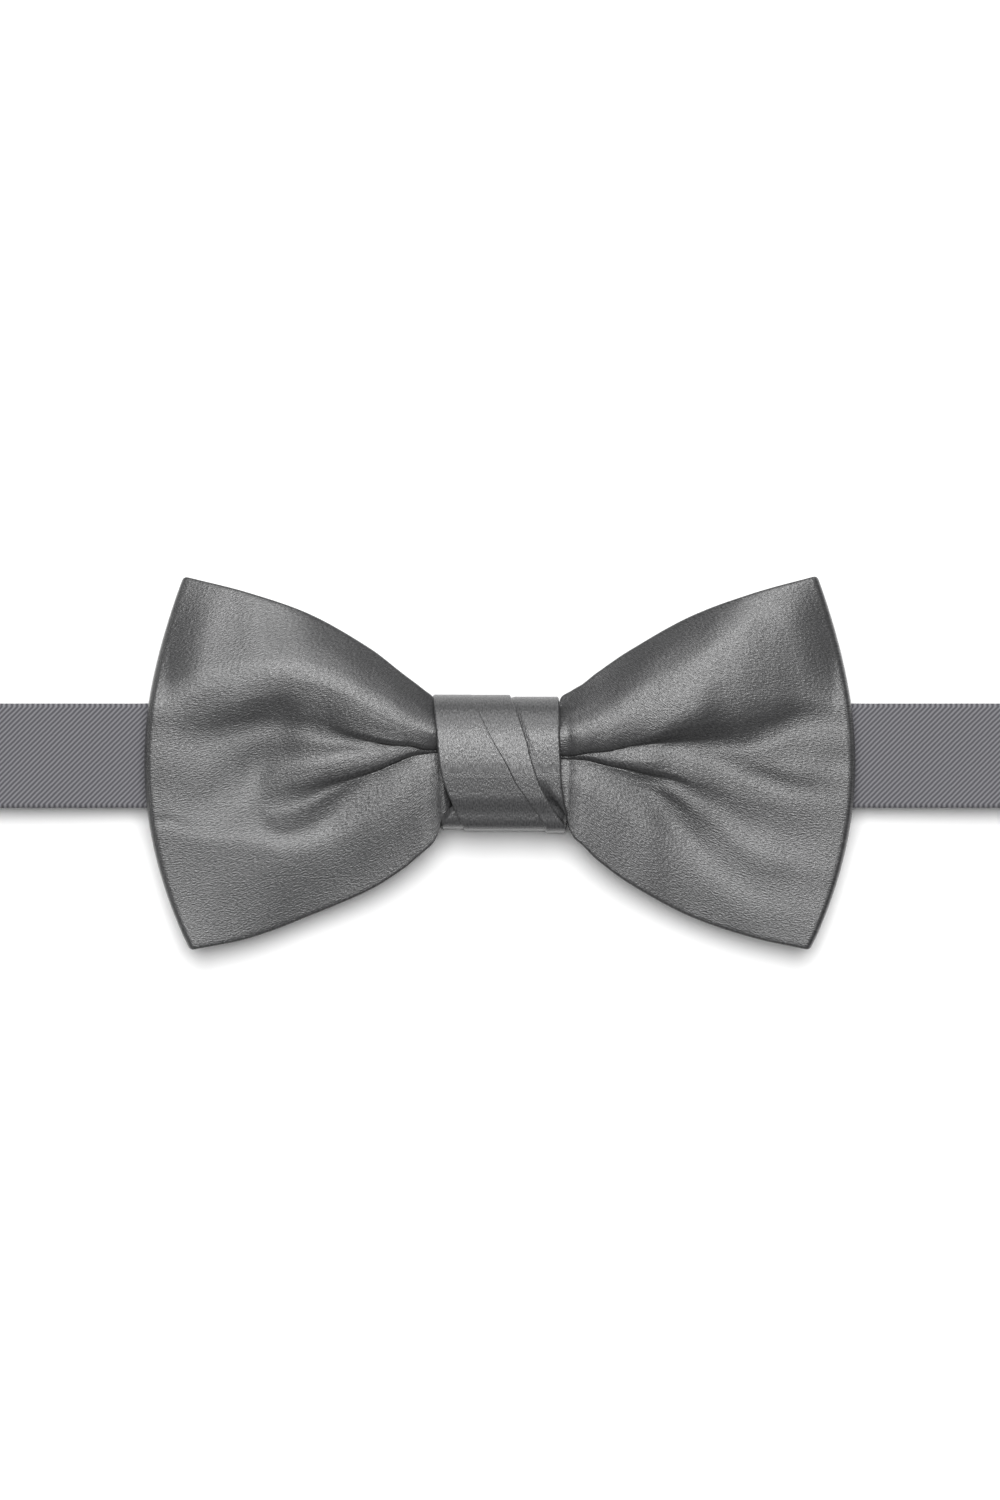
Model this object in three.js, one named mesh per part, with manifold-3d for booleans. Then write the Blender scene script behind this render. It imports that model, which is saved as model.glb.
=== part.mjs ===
// A pre-tied bow tie lying on its back, in millimetres.
// +X runs along the neck band, +Y towards the upper edge of the bow, +Z up.
// The origin is on the surface below the middle of the bow.
import * as THREE from "three";
import { mergeVertices } from "three/addons/utils/BufferGeometryUtils.js";
import Module from "manifold-3d";

const wasm = await Module();
wasm.setup();

// Driving dimensions

const GAP = 0.3; // clearance between pieces that touch
const SEAM_OVERLAP = 0.02; // how far two layers that are sewn together reach into each other
const SATIN = 1.2; // thickness of the doubled satin of the bow

const BOW = {
  reach: 60.0, // from the middle to the outermost point of a wing
  sideBulge: 7.3, // how much further out a wing is at mid height than at its corners
  turnDepth: 3.4, // depth of the rounded fold at a wing's outer end
  rootDistance: 10.8, // where the cloth of a wing starts inside the knot
  backShrink: 0.97, // height of the back layer against the front one
  backClearance: 0.5, // between the back layer and the band below it
  foldsFrom: { none: 10.5, full: 15 }, // the knot presses the folds flat nearer to the middle
  edgeDroop: 2.5, // power with which a wing's front falls off from its middle line to its edges
  foldEnd: 0.75, // share of a fold's route after which it runs out
};

const CORE = {
  halfLength: 13,
  halfHeight: 9.3,
  bottom: 5.5,
  top: 16.1,
};

const KNOT = {
  top: 11.7,
  bottom: -11.5,
  rear: 1.5,
  front: 18.4,
  innerTurn: 1.2, // thickness of the first turn
  outerTurn: 0.7, // what the second turn adds on top of it
  pleat: { depth: 0.45, halfWidth: 0.9 }, // the groove between the two halves of the second turn
  stepWidth: 1.1, // over which the second turn drops to the first at its right edge
};

// How square the gathers and the knot are in a cut across the band: 2 is an ellipse
const SQUARENESS = { front: 2.9, rear: 8 };

const BAND = {
  width: 17.7,
  middleY: 1.4,
  thickness: 1.2,
  loopLength: 400,
  endRise: 8.0, // height of the front run above the back run where the loop turns round
  waist: { top: 8.4, halfLength: 12 }, // upper edge of the stretch that the knot squeezes
};

const CLASP = {
  middleX: 42,
  lengthX: 15,
  heightY: 23,
  thickness: 1.2,
  outerBar: 2.0,
  slot: { lengthX: 3.4, heightY: 18.7, cornerRadius: 0.5 },
  cornerRadius: 1.5,
  slack: 0.6, // clearance between a bar and the band that turns round it
  slope: 4, // length over which the band end comes down from the bar to the band
  sewnTab: 9, // length of band end that is sewn back on the band
};

// Half height of each wing at a distance from the middle
const OUTLINE = [
  { distance: 10.8, leftTop: 8.0, leftBottom: 8.0, rightTop: 8.0, rightBottom: 8.0 },
  { distance: 12.1, leftTop: 9.2, leftBottom: 9.8, rightTop: 9.3, rightBottom: 9.3 },
  { distance: 13.4, leftTop: 12.4, leftBottom: 15.0, rightTop: 12.9, rightBottom: 13.2 },
  { distance: 16.4, leftTop: 15.2, leftBottom: 17.8, rightTop: 15.4, rightBottom: 16.2 },
  { distance: 22.0, leftTop: 19.5, leftBottom: 21.3, rightTop: 19.2, rightBottom: 20.3 },
  { distance: 32.0, leftTop: 25.2, leftBottom: 25.6, rightTop: 24.8, rightBottom: 25.7 },
  { distance: 42.5, leftTop: 28.9, leftBottom: 29.5, rightTop: 28.7, rightBottom: 29.3 },
  { distance: 53.0, leftTop: 31.6, leftBottom: 31.6, rightTop: 31.6, rightBottom: 31.6 },
];

// Height of the front layer's middle line and of its upper and lower edges
const FRONT = [
  { distance: 10, crown: 14.8, edge: 10.4 },
  { distance: 12, crown: 14.8, edge: 10.8 },
  { distance: 17, crown: 15.2, edge: 13.6 },
  { distance: 24, crown: 16.2, edge: 15.2 },
  { distance: 35, crown: 17.0, edge: 16.0 },
  { distance: 46, crown: 16.8, edge: 16.0 },
  { distance: 56, crown: 15.2, edge: 15.0 },
  { distance: 62, crown: 14.4, edge: 14.4 },
];

// Height of the middle of the band's front run above the back run's own middle
const FRONT_RUN = [
  { distance: 0, rise: 4.0 },
  { distance: 12, rise: 4.0 },
  { distance: 29, rise: 4.9 },
  { distance: 42, rise: 5.6 },
  { distance: 58, rise: 6.5 },
  { distance: 76, rise: 7.7 },
  { distance: 92, rise: 8.0 },
];

// Folds of the front layer: a height above (or depth below) the smooth cloth along a route in X and Y,
// fading over a width on the side of the upper edge and another on the side of the lower edge.
const LEFT_FOLDS = [
  { name: "upper ridge", height: 1.9, above: 4.6, below: 2.6,
    route: [[-12, 5.2], [-22, 9.1], [-32, 13.6], [-41, 14.2], [-52, 11.6]] },
  { name: "upper valley", height: -1.7, above: 2.6, below: 2.6,
    route: [[-12, 3.2], [-20, 4.6], [-30, 9.0], [-40, 9.2], [-52, 6.6]] },
  { name: "middle ridge", height: 1.2, above: 2.0, below: 2.0,
    route: [[-12, 2.4], [-24, 1.6], [-34, 0], [-41, -4], [-44, -7]] },
  { name: "middle hollow", height: -1.3, above: 2.0, below: 2.0,
    route: [[-13, 1.4], [-22, -1], [-31, -4.4], [-40, -6.4]] },
  { name: "lower ridge", height: 1.8, above: 2.4, below: 4.4,
    route: [[-12, 0], [-18.5, -3.8], [-26, -9.2], [-35, -12.8], [-45, -10.8]] },
];

const RIGHT_FOLDS = [
  { name: "upper ridge", height: 2.1, above: 4.4, below: 3.0,
    route: [[12, 4], [20, 8.8], [30, 13], [38, 17.2], [44, 25]] },
  { name: "upper valley", height: -1.7, above: 2.6, below: 2.4,
    route: [[12, 2.4], [23, 4.4], [36, 6.8], [46, 8.4], [54, 9.9]] },
  { name: "middle ridge", height: 1.2, above: 2.0, below: 2.0,
    route: [[13, 1.2], [26, 2.4], [36, -0.4], [44, -4.6], [55, -5.6]] },
  { name: "middle hollow", height: -1.4, above: 2.0, below: 2.2,
    route: [[13, 0.8], [22, -1.7], [30, -5], [36, -11.6], [48, -18]] },
  { name: "lower ridge", height: 1.7, above: 2.2, below: 4.2,
    route: [[12, -1.2], [20, -4.7], [28, -11], [38, -20], [54, -21.4]] },
];

// Edges of the knot and the two lines that cross its front, as X at a height Y
const KNOT_LINES = [
  { y: 11.7, left: -11.3, pleat: -4.9, step: 1.8, right: 9.6 },
  { y: 4.0, left: -10.6, pleat: -1.3, step: 4.4, right: 10.1 },
  { y: -2.0, left: -9.9, pleat: 1.9, step: 6.1, right: 10.4 },
  { y: -6.2, left: -9.6, pleat: 4.6, step: 8.0, right: 10.7 },
  { y: -11.5, left: -9.3, pleat: 7.8, step: 11.2, right: 11.3 },
];

// Steps of the meshes
const STEPS = {
  front: 22, turn: 6, back: 8, height: 16,
  foldRoute: 14,
  core: 24,
  knot: { around: 32, across: 12 },
  run: 24, bend: 12,
  corner: 3,
};

// Small helpers

const mix = THREE.MathUtils.lerp;
const smooth = THREE.MathUtils.smoothstep;
const signedPower = (value, power) => Math.sign(value) * Math.abs(value) ** power;

// Reads one column of a table as a smooth curve over its key column.
function readTable(table, key, column, at) {
  const rising = table[0][key] < table[table.length - 1][key];
  const rows = rising ? table : [...table].reverse();
  const last = rows.length - 1;
  if (at <= rows[0][key]) return rows[0][column];
  if (at >= rows[last][key]) return rows[last][column];
  const i = rows.findIndex((row) => row[key] > at) - 1;
  const slope = (k) => {
    const a = rows[Math.max(k - 1, 0)];
    const b = rows[Math.min(k + 1, last)];
    return (b[column] - a[column]) / (b[key] - a[key]);
  };
  const span = rows[i + 1][key] - rows[i][key];
  const t = (at - rows[i][key]) / span;
  const fromStart = t * t * (3 - 2 * t);
  return mix(rows[i][column], rows[i + 1][column], fromStart)
    + span * t * (1 - t) * ((1 - t) * slope(i) - t * slope(i + 1));
}

// A point of a rounded square of half size 1, rounder at its front than at its rear.
function roundedSection(angle) {
  const power = 2 / (Math.sin(angle) > 0 ? SQUARENESS.front : SQUARENESS.rear);
  return [signedPower(Math.cos(angle), power), signedPower(Math.sin(angle), power)];
}

function geometryOf(points, triangles) {
  const geometry = new THREE.BufferGeometry().setFromPoints(points);
  geometry.setIndex(triangles);
  return geometry;
}

// The two triangles of each cell of a grid of points, numbered row by row.
function gridTriangles(pointAt, columns, rows, flip) {
  const triangles = [];
  for (let i = 0; i < columns; i++) {
    for (let j = 0; j < rows; j++) {
      const [a, b, c, d] = [pointAt(i, j), pointAt(i + 1, j), pointAt(i + 1, j + 1), pointAt(i, j + 1)];
      triangles.push(...(flip ? [a, c, b, a, d, c] : [a, b, c, a, c, d]));
    }
  }
  return triangles;
}

// A closed wall of cloth round a middle surface, which is given as a function of two numbers from 0 to 1.
function clothWall(middleAt, columns, rows, thickness) {
  const layers = [1, -1].map((side) => {
    const points = [];
    for (let i = 0; i <= columns; i++) {
      for (let j = 0; j <= rows; j++) {
        const normal = surfaceNormal(middleAt, i / columns, j / rows);
        points.push(middleAt(i / columns, j / rows).addScaledVector(normal, (side * thickness) / 2));
      }
    }
    return points;
  });
  const front = (i, j) => i * (rows + 1) + j;
  const back = (i, j) => layers[0].length + front(i, j);
  const triangles = [
    ...gridTriangles(front, columns, rows, false),
    ...gridTriangles(back, columns, rows, true),
    ...gridTriangles((i, k) => (k ? front : back)(i, 0), columns, 1, false),
    ...gridTriangles((i, k) => (k ? front : back)(i, rows), columns, 1, true),
    ...gridTriangles((j, k) => (k ? front : back)(0, j), rows, 1, true),
    ...gridTriangles((j, k) => (k ? front : back)(columns, j), rows, 1, false),
  ];
  return geometryOf(layers.flat(), triangles);
}

function surfaceNormal(middleAt, u, v) {
  const reach = 0.004; // share of the surface on each side of the point
  const clamp = (value) => THREE.MathUtils.clamp(value, 0, 1);
  const alongU = middleAt(clamp(u + reach), v).sub(middleAt(clamp(u - reach), v));
  const alongV = middleAt(u, clamp(v + reach)).sub(middleAt(u, clamp(v - reach)));
  return alongU.cross(alongV).normalize();
}

// Joining and cutting

function solidOf(geometry) {
  const bare = new THREE.BufferGeometry();
  bare.setAttribute("position", geometry.getAttribute("position"));
  bare.setIndex(geometry.index);
  const merged = mergeVertices(bare, 1e-4);
  return new wasm.Manifold(new wasm.Mesh({
    numProp: 3,
    vertProperties: merged.getAttribute("position").array,
    triVerts: new Uint32Array(merged.index.array),
  }));
}

function geometryFrom(solid) {
  const mesh = solid.getMesh();
  const geometry = new THREE.BufferGeometry();
  geometry.setAttribute("position", new THREE.BufferAttribute(mesh.vertProperties, 3));
  geometry.setIndex(new THREE.BufferAttribute(mesh.triVerts, 1));
  return geometry;
}

// Neck band: one strip in the plane of X and Z, extruded to the band's width

const backRunMiddle = BAND.thickness / 2;
const endTurnRadius = BAND.endRise / 2;
const endTurnX = (BAND.loopLength - 2 * Math.PI * endTurnRadius) / 4;

function frontRunMiddle(x) {
  return backRunMiddle + readTable(FRONT_RUN, "distance", "rise", Math.abs(x));
}

// A strip of even thickness along a line of points in X and Z.
function stripShape(line, thickness) {
  const sides = [1, -1].map((side) => line.map((point, i) => {
    const before = line[Math.max(i - 1, 0)];
    const after = line[Math.min(i + 1, line.length - 1)];
    const along = after.clone().sub(before).normalize();
    const across = new THREE.Vector2(-along.y, along.x);
    return point.clone().addScaledVector(across, (side * thickness) / 2);
  }));
  return new THREE.Shape([...sides[0], ...sides[1].reverse()]);
}

function extrudeAcross(shape) {
  const geometry = new THREE.ExtrudeGeometry(shape, { depth: BAND.width, bevelEnabled: false });
  geometry.rotateX(Math.PI / 2);
  geometry.translate(0, BAND.middleY + BAND.width / 2, 0);
  return geometry;
}

function endTurn(side) {
  const points = [];
  for (let i = 0; i <= STEPS.bend; i++) {
    const angle = (Math.PI * i) / STEPS.bend - Math.PI / 2;
    points.push(new THREE.Vector2(
      side * (endTurnX + endTurnRadius * Math.cos(angle)),
      backRunMiddle + endTurnRadius * (1 + Math.sin(angle)),
    ));
  }
  return points;
}

// The run of the band from one side of the clasp all the way round to the other.
function bandLine() {
  const barX = CLASP.lengthX / 2 - CLASP.outerBar / 2;
  const frontRun = [];
  for (let i = 1; i < 2 * STEPS.run; i++) {
    const x = mix(-endTurnX, endTurnX, i / (2 * STEPS.run));
    frontRun.push(new THREE.Vector2(x, frontRunMiddle(x)));
  }
  return [
    new THREE.Vector2(CLASP.middleX - barX, backRunMiddle),
    ...endTurn(-1),
    ...frontRun,
    ...endTurn(1).reverse(),
    new THREE.Vector2(CLASP.middleX + barX, backRunMiddle),
  ];
}

// The end of the band that turns round an outer bar of the clasp and is sewn back on the band.
function clampedEndLine(side) {
  const barX = CLASP.middleX + side * (CLASP.lengthX / 2 - CLASP.outerBar / 2);
  const overBar = BAND.thickness + 2 * GAP + CLASP.thickness;
  const radius = overBar / 2;
  const turnX = barX - side * (CLASP.outerBar / 2 + CLASP.slack + BAND.thickness / 2 - radius);
  const line = [new THREE.Vector2(barX, backRunMiddle)];
  for (let i = 0; i <= STEPS.bend; i++) {
    const angle = (Math.PI * i) / STEPS.bend - Math.PI / 2;
    line.push(new THREE.Vector2(
      turnX - side * radius * Math.cos(angle),
      backRunMiddle + radius * (1 + Math.sin(angle)),
    ));
  }
  const slopeFrom = barX + (side * CLASP.outerBar) / 2;
  const sewnFrom = slopeFrom + side * CLASP.slope;
  const sewnRise = BAND.thickness - SEAM_OVERLAP;
  for (let i = 0; i <= STEPS.bend; i++) {
    const t = i / STEPS.bend;
    const rise = mix(overBar, sewnRise, smooth(t, 0, 1));
    line.push(new THREE.Vector2(mix(slopeFrom, sewnFrom, t), backRunMiddle + rise));
  }
  line.push(new THREE.Vector2(sewnFrom + side * CLASP.sewnTab, backRunMiddle + sewnRise));
  return line;
}

function makeNeckBand() {
  const squeeze = new THREE.BoxGeometry(2 * BAND.waist.halfLength, BAND.width, 2 * BAND.thickness);
  squeeze.translate(0, BAND.waist.top + BAND.width / 2, frontRunMiddle(0));
  const band = [-1, 1].reduce(
    (joined, side) => joined.add(solidOf(extrudeAcross(stripShape(clampedEndLine(side), BAND.thickness)))),
    solidOf(extrudeAcross(stripShape(bandLine(), BAND.thickness))),
  );
  return geometryFrom(band.subtract(solidOf(squeeze)));
}

// Clasp: a flat frame with a slot for each end of the band

function roundedRectangle(width, height, radius) {
  const [w, h] = [width / 2, height / 2];
  const shape = new THREE.Shape();
  shape.moveTo(-w + radius, -h);
  shape.absarc(w - radius, -h + radius, radius, -Math.PI / 2, 0);
  shape.absarc(w - radius, h - radius, radius, 0, Math.PI / 2);
  shape.absarc(-w + radius, h - radius, radius, Math.PI / 2, Math.PI);
  shape.absarc(-w + radius, -h + radius, radius, Math.PI, 1.5 * Math.PI);
  return shape;
}

function makeClasp() {
  const plate = roundedRectangle(CLASP.lengthX, CLASP.heightY, CLASP.cornerRadius);
  const slotX = CLASP.lengthX / 2 - CLASP.outerBar - CLASP.slot.lengthX / 2;
  for (const side of [-1, 1]) {
    const { lengthX, heightY, cornerRadius } = CLASP.slot;
    const outline = roundedRectangle(lengthX, heightY, cornerRadius).getPoints(STEPS.corner);
    const points = outline.map((point) => point.add(new THREE.Vector2(side * slotX, 0)));
    plate.holes.push(new THREE.Path(points));
  }
  return new THREE.ExtrudeGeometry(plate, {
    depth: CLASP.thickness,
    bevelEnabled: false,
    curveSegments: STEPS.corner,
  });
}

// Bow: two flat loops of one satin strip, gathered to a core in the middle

function halfHeight(side, up, distance) {
  const column = (side < 0 ? "left" : "right") + (up ? "Top" : "Bottom");
  return readTable(OUTLINE, "distance", column, distance);
}

// Points along a smooth curve through a fold's route.
function foldLine(fold) {
  const curve = new THREE.CatmullRomCurve3(fold.route.map(([x, y]) => new THREE.Vector3(x, y, 0)));
  return curve.getPoints(STEPS.foldRoute);
}

// Height that a fold adds at a point: full on its line, fading across it and over its last stretch.
function foldHeight(fold, line, x, y) {
  const point = new THREE.Vector3(x, y, 0);
  const nearest = new THREE.Vector3();
  const best = { distance: Infinity, at: 0, offset: 0 };
  for (let i = 0; i < line.length - 1; i++) {
    new THREE.Line3(line[i], line[i + 1]).closestPointToPoint(point, true, nearest);
    const distance = nearest.distanceTo(point);
    if (distance < best.distance) {
      const step = nearest.distanceTo(line[i]) / line[i + 1].distanceTo(line[i]);
      Object.assign(best, { distance, at: (i + step) / (line.length - 1), offset: y - nearest.y });
    }
  }
  const width = best.offset > 0 ? fold.above : fold.below;
  const fade = 1 - smooth(best.at, BOW.foldEnd, 1);
  return fold.height * fade * Math.exp(-((best.distance / width) ** 2));
}

const FOLDS = new Map([
  [-1, LEFT_FOLDS.map((fold) => ({ fold, line: foldLine(fold) }))],
  [1, RIGHT_FOLDS.map((fold) => ({ fold, line: foldLine(fold) }))],
]);

// Height of the front layer's middle surface at a point of a wing.
function frontLayer(side, x, y, upTo) {
  const distance = Math.abs(x);
  const crown = readTable(FRONT, "distance", "crown", distance);
  const edge = readTable(FRONT, "distance", "edge", distance);
  const clearOfKnot = smooth(distance, BOW.foldsFrom.none, BOW.foldsFrom.full);
  const folds = FOLDS.get(side).reduce((sum, { fold, line }) => sum + foldHeight(fold, line, x, y), 0);
  return mix(crown, edge, Math.abs(upTo) ** BOW.edgeDroop) + clearOfKnot * folds;
}

// Height of the back layer's middle surface, which lies on the band.
function backLayer(x) {
  return frontRunMiddle(x) + BAND.thickness / 2 + BOW.backClearance + SATIN / 2;
}

// Middle surface of one wing: along the strip from the front of the knot, round the outer end and back.
function wingSurface(side) {
  const parts = STEPS.front + STEPS.turn + STEPS.back;
  const [turnFrom, turnTo] = [STEPS.front / parts, (STEPS.front + STEPS.turn) / parts];
  return (along, up) => {
    const v = 2 * up - 1;
    const turnX = BOW.reach - BOW.sideBulge * v * v - SATIN / 2 - BOW.turnDepth;
    const heightAt = (distance) => v * halfHeight(side, v > 0, distance);
    if (along <= turnFrom) {
      const distance = mix(BOW.rootDistance, turnX, along / turnFrom);
      const y = heightAt(distance);
      return new THREE.Vector3(side * distance, y, frontLayer(side, side * distance, y, v));
    }
    const behind = mix(1, BOW.backShrink, smooth(along, turnFrom, turnTo));
    if (along >= turnTo) {
      const distance = mix(turnX, BOW.rootDistance, (along - turnTo) / (1 - turnTo));
      return new THREE.Vector3(side * distance, behind * heightAt(distance), backLayer(distance));
    }
    const angle = (Math.PI * (along - turnFrom)) / (turnTo - turnFrom);
    const distance = turnX + BOW.turnDepth * Math.sin(angle);
    const frontZ = frontLayer(side, side * turnX, heightAt(turnX), v);
    const z = mix(backLayer(turnX), frontZ, (1 + Math.cos(angle)) / 2);
    return new THREE.Vector3(side * distance, behind * heightAt(distance), z);
  };
}

// The gathered cloth that the knot holds: a rounded bar along X.
function coreGeometry() {
  const { halfLength, halfHeight, top, bottom } = CORE;
  const section = [];
  for (let i = 0; i < STEPS.core; i++) {
    const [sideways, upwards] = roundedSection((2 * Math.PI * i) / STEPS.core);
    section.push(new THREE.Vector2(
      ((bottom - top) / 2) * upwards - (top + bottom) / 2,
      halfHeight * sideways,
    ));
  }
  const bar = new THREE.ExtrudeGeometry(new THREE.Shape(section), {
    depth: 2 * halfLength,
    bevelEnabled: false,
  });
  bar.rotateY(Math.PI / 2);
  bar.translate(-halfLength, 0, 0);
  return bar;
}

function makeBow() {
  const columns = STEPS.front + STEPS.turn + STEPS.back;
  const wings = [-1, 1].map((side) => clothWall(wingSurface(side), columns, STEPS.height, SATIN));
  return geometryFrom(wings.reduce((joined, wing) => joined.add(solidOf(wing)), solidOf(coreGeometry())));
}

// Knot: a satin strip wound twice round the core and the band, its second turn crossing aslant

// How far the outside of the knot stands out beyond the first turn.
function secondTurn(x, y, onFront) {
  if (!onFront) return KNOT.outerTurn;
  const step = readTable(KNOT_LINES, "y", "step", y);
  const pleat = readTable(KNOT_LINES, "y", "pleat", y);
  const groove = KNOT.pleat.depth * Math.exp(-(((x - pleat) / KNOT.pleat.halfWidth) ** 2));
  return KNOT.outerTurn * (1 - smooth(x, step, step + KNOT.stepWidth)) - groove;
}

function knotPoint(angle, across, outside) {
  const [halfY, halfZ] = [(KNOT.top - KNOT.bottom) / 2, (KNOT.front - KNOT.rear) / 2];
  const [sideways, upwards] = roundedSection(angle);
  const middleY = (KNOT.top + KNOT.bottom) / 2;
  const edgeY = middleY + halfY * sideways;
  const x = mix(
    readTable(KNOT_LINES, "y", "left", edgeY),
    readTable(KNOT_LINES, "y", "right", edgeY),
    across,
  );
  const inset = KNOT.outerTurn + (outside ? -secondTurn(x, edgeY, upwards > 0) : KNOT.innerTurn);
  return new THREE.Vector3(
    x,
    middleY + (halfY - inset) * sideways,
    (KNOT.front + KNOT.rear) / 2 + (halfZ - inset) * upwards,
  );
}

function makeKnot() {
  const { around, across } = STEPS.knot;
  const points = [];
  for (const outside of [true, false]) {
    for (let i = 0; i < around; i++) {
      for (let j = 0; j <= across; j++) {
        points.push(knotPoint((2 * Math.PI * i) / around, j / across, outside));
      }
    }
  }
  const outer = (i, j) => (i % around) * (across + 1) + j;
  const inner = (i, j) => points.length / 2 + outer(i, j);
  return geometryOf(points, [
    ...gridTriangles(outer, around, across, false),
    ...gridTriangles(inner, around, across, true),
    ...gridTriangles((i, k) => (k ? outer : inner)(i, 0), around, 1, false),
    ...gridTriangles((i, k) => (k ? outer : inner)(i, across), around, 1, true),
  ]);
}

// The assembly

function addPiece(group, name, geometry, { colour, roughness, metalness }) {
  const material = new THREE.MeshStandardMaterial({ color: colour, roughness, metalness });
  const mesh = new THREE.Mesh(geometry, material);
  mesh.name = name;
  group.add(mesh);
  return mesh;
}

const satin = { colour: 0x7e7e80, roughness: 0.4, metalness: 0 };
const twill = { colour: 0x727276, roughness: 0.75, metalness: 0 };
const steel = { colour: 0xb4b4b8, roughness: 0.3, metalness: 1 };

const bowTie = new THREE.Group();
addPiece(bowTie, "neck_band", makeNeckBand(), twill);
addPiece(bowTie, "bow", makeBow(), satin);
addPiece(bowTie, "knot", makeKnot(), satin);
const clasp = addPiece(bowTie, "clasp", makeClasp(), steel);
clasp.position.set(CLASP.middleX, BAND.middleY, BAND.thickness + GAP);

export default bowTie;
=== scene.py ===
import math

import bmesh
import bpy
import numpy as np
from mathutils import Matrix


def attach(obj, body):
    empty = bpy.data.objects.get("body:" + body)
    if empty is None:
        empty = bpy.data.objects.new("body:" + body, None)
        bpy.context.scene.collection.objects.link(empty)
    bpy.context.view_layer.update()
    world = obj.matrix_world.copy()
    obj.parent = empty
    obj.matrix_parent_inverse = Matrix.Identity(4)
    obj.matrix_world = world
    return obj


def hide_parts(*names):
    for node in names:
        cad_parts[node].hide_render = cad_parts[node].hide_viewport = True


# A pre-tied bow tie on its back on a pale floor, seen from straight above.
# Sizes of the cloth are in millimetres until a mesh is made; the scene is in metres.

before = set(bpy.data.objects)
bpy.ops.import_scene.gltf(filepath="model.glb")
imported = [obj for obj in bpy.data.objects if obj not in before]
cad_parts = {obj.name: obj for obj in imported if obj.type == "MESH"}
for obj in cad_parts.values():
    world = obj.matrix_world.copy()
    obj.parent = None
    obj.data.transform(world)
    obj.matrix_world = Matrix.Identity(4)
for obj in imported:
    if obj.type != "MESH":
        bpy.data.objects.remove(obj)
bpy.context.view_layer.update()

MM = 0.001


def table(columns, *rows):
    """A short table as a dict of columns."""
    return dict(zip(columns.split(), np.array(rows, float).T))


def named_tables(columns, lines):
    """A table for each named line. A line with short rows has only the first columns."""
    return {name: table(columns, *rows) for name, rows in lines.items()}


# Driving dimensions

BOW = {
    "reach": 60.0,  # from the middle to the outermost point of a wing
    "side_bulge": 7.3,  # how much further out a wing is at mid height than at its lower corner
    "top_corner": 1.1,  # how much further out its upper corner is than its lower one
    "turn_depth": 0.6,  # depth of the rounded fold at a wing's outer end
    "root": 8.5,  # distance from the middle where the cloth goes straight through the knot
    "back_shrink": 0.97,  # height of the back layer against the front one
    "back_clearance": 0.5,  # between the back layer and the band below it
    "thickness": 0.9,
    "folds_from": (8.2, 9.7),  # the knot presses the folds flat nearer to the middle
}

# How much the upper half of a wing's front falls towards the fold at its outer end. The rows are
# shares of the half height, and the corner falls less.
SIDE_FALL = {
    "depth": 1.5,
    "distances": (52, 63),
    "rows": (0.25, 0.6),
    "corner_rows": (0.75, 1),
    "corner_easing": 0.6,
}

GATHERS = {
    "half_length": 13.0,
    "half_height": 8.7,
    "bottom": 7.2,
    "top": 11.5,
    "pleats": 15,
    "pleat_depth": 0.55,
    "corner_power": 0.7,  # 1 is an ellipse in a cut across the band, and less is squarer
    "taper": 0.25,
    "taper_length": 1.5,
    "cloth_radius": 5,  # turns an angle round them into a length of cloth
}

KNOT = {
    "top": 11.75,
    "bottom": -12.05,
    "rear": 1.5,
    "front": 18.4,
    "layer": 0.34,  # thickness of each of the two layers of the second turn
    "inner_turn": 1.15,  # thickness of the first turn
    "sag": 0.85,  # how much lower the front lies towards the bow's lower edge
    "sag_heights": (0.5, -9.5),
    "edge_round": 0.35,  # how far in from an edge the cloth starts to round off
    "edge_drop": 0.9,  # share of the thickness that it rounds off
    "under_pleat": 0.5,  # how far the second turn reaches under the pleat at the step
    "front_sines": (-0.4, 0.1),  # sines of the angle round the knot between which its front sets in
}

# How the depths of the knot's layers change over its front. Each pair is where a change sets in and
# where it is full, in Y for heights and in X otherwise.
KNOT_FRONT = {
    "dip": 0.55,
    "dip_heights": (-5.5, -9.3),
    "dive": 1.1,
    "dive_heights": (-2.2, -8.5),
    "dive_across": (-6, -2),
    "dive_past_step": (1.6, 0.2),
    "bare_rise": 0.35,
    "bare_heights": (-2, 6),
    "bare_past_step": (-0.3, 0.6),
    "upper_heights": (-7, 8),
    "past_pleat_drop": 0.22,
    "left_depth": -0.02,  # below the outermost surface
    "left_of_pleat": (1.15, 0.1),
    "pleat_depth": 0.02,
}

# How square the knot is in a cut across the band: 2 is an ellipse
SQUARENESS = {"upper_front": 2.9, "lower_front": 7.5, "rear": 8}

BAND = {
    "width": 17.7,
    "middle_y": 1.4,
    "thickness": 1.2,
    "loop": 400,
    "end_rise": 8.0,
    "waist_top": 8.4,  # upper edge of the stretch that the knot squeezes
    "waist": (12.0, 14.5),  # distances from the middle between which the band widens again
}

CLASP = {
    "middle_x": 42,
    "length": 15,
    "thickness": 1.2,
    "outer_bar": 2.0,
    "gap": 0.3,
    "slack": 0.6,
    "slope": 4,
    "sewn_tab": 9,
    "seam": 0.02,
    "bevel": 0.3,
}

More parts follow.
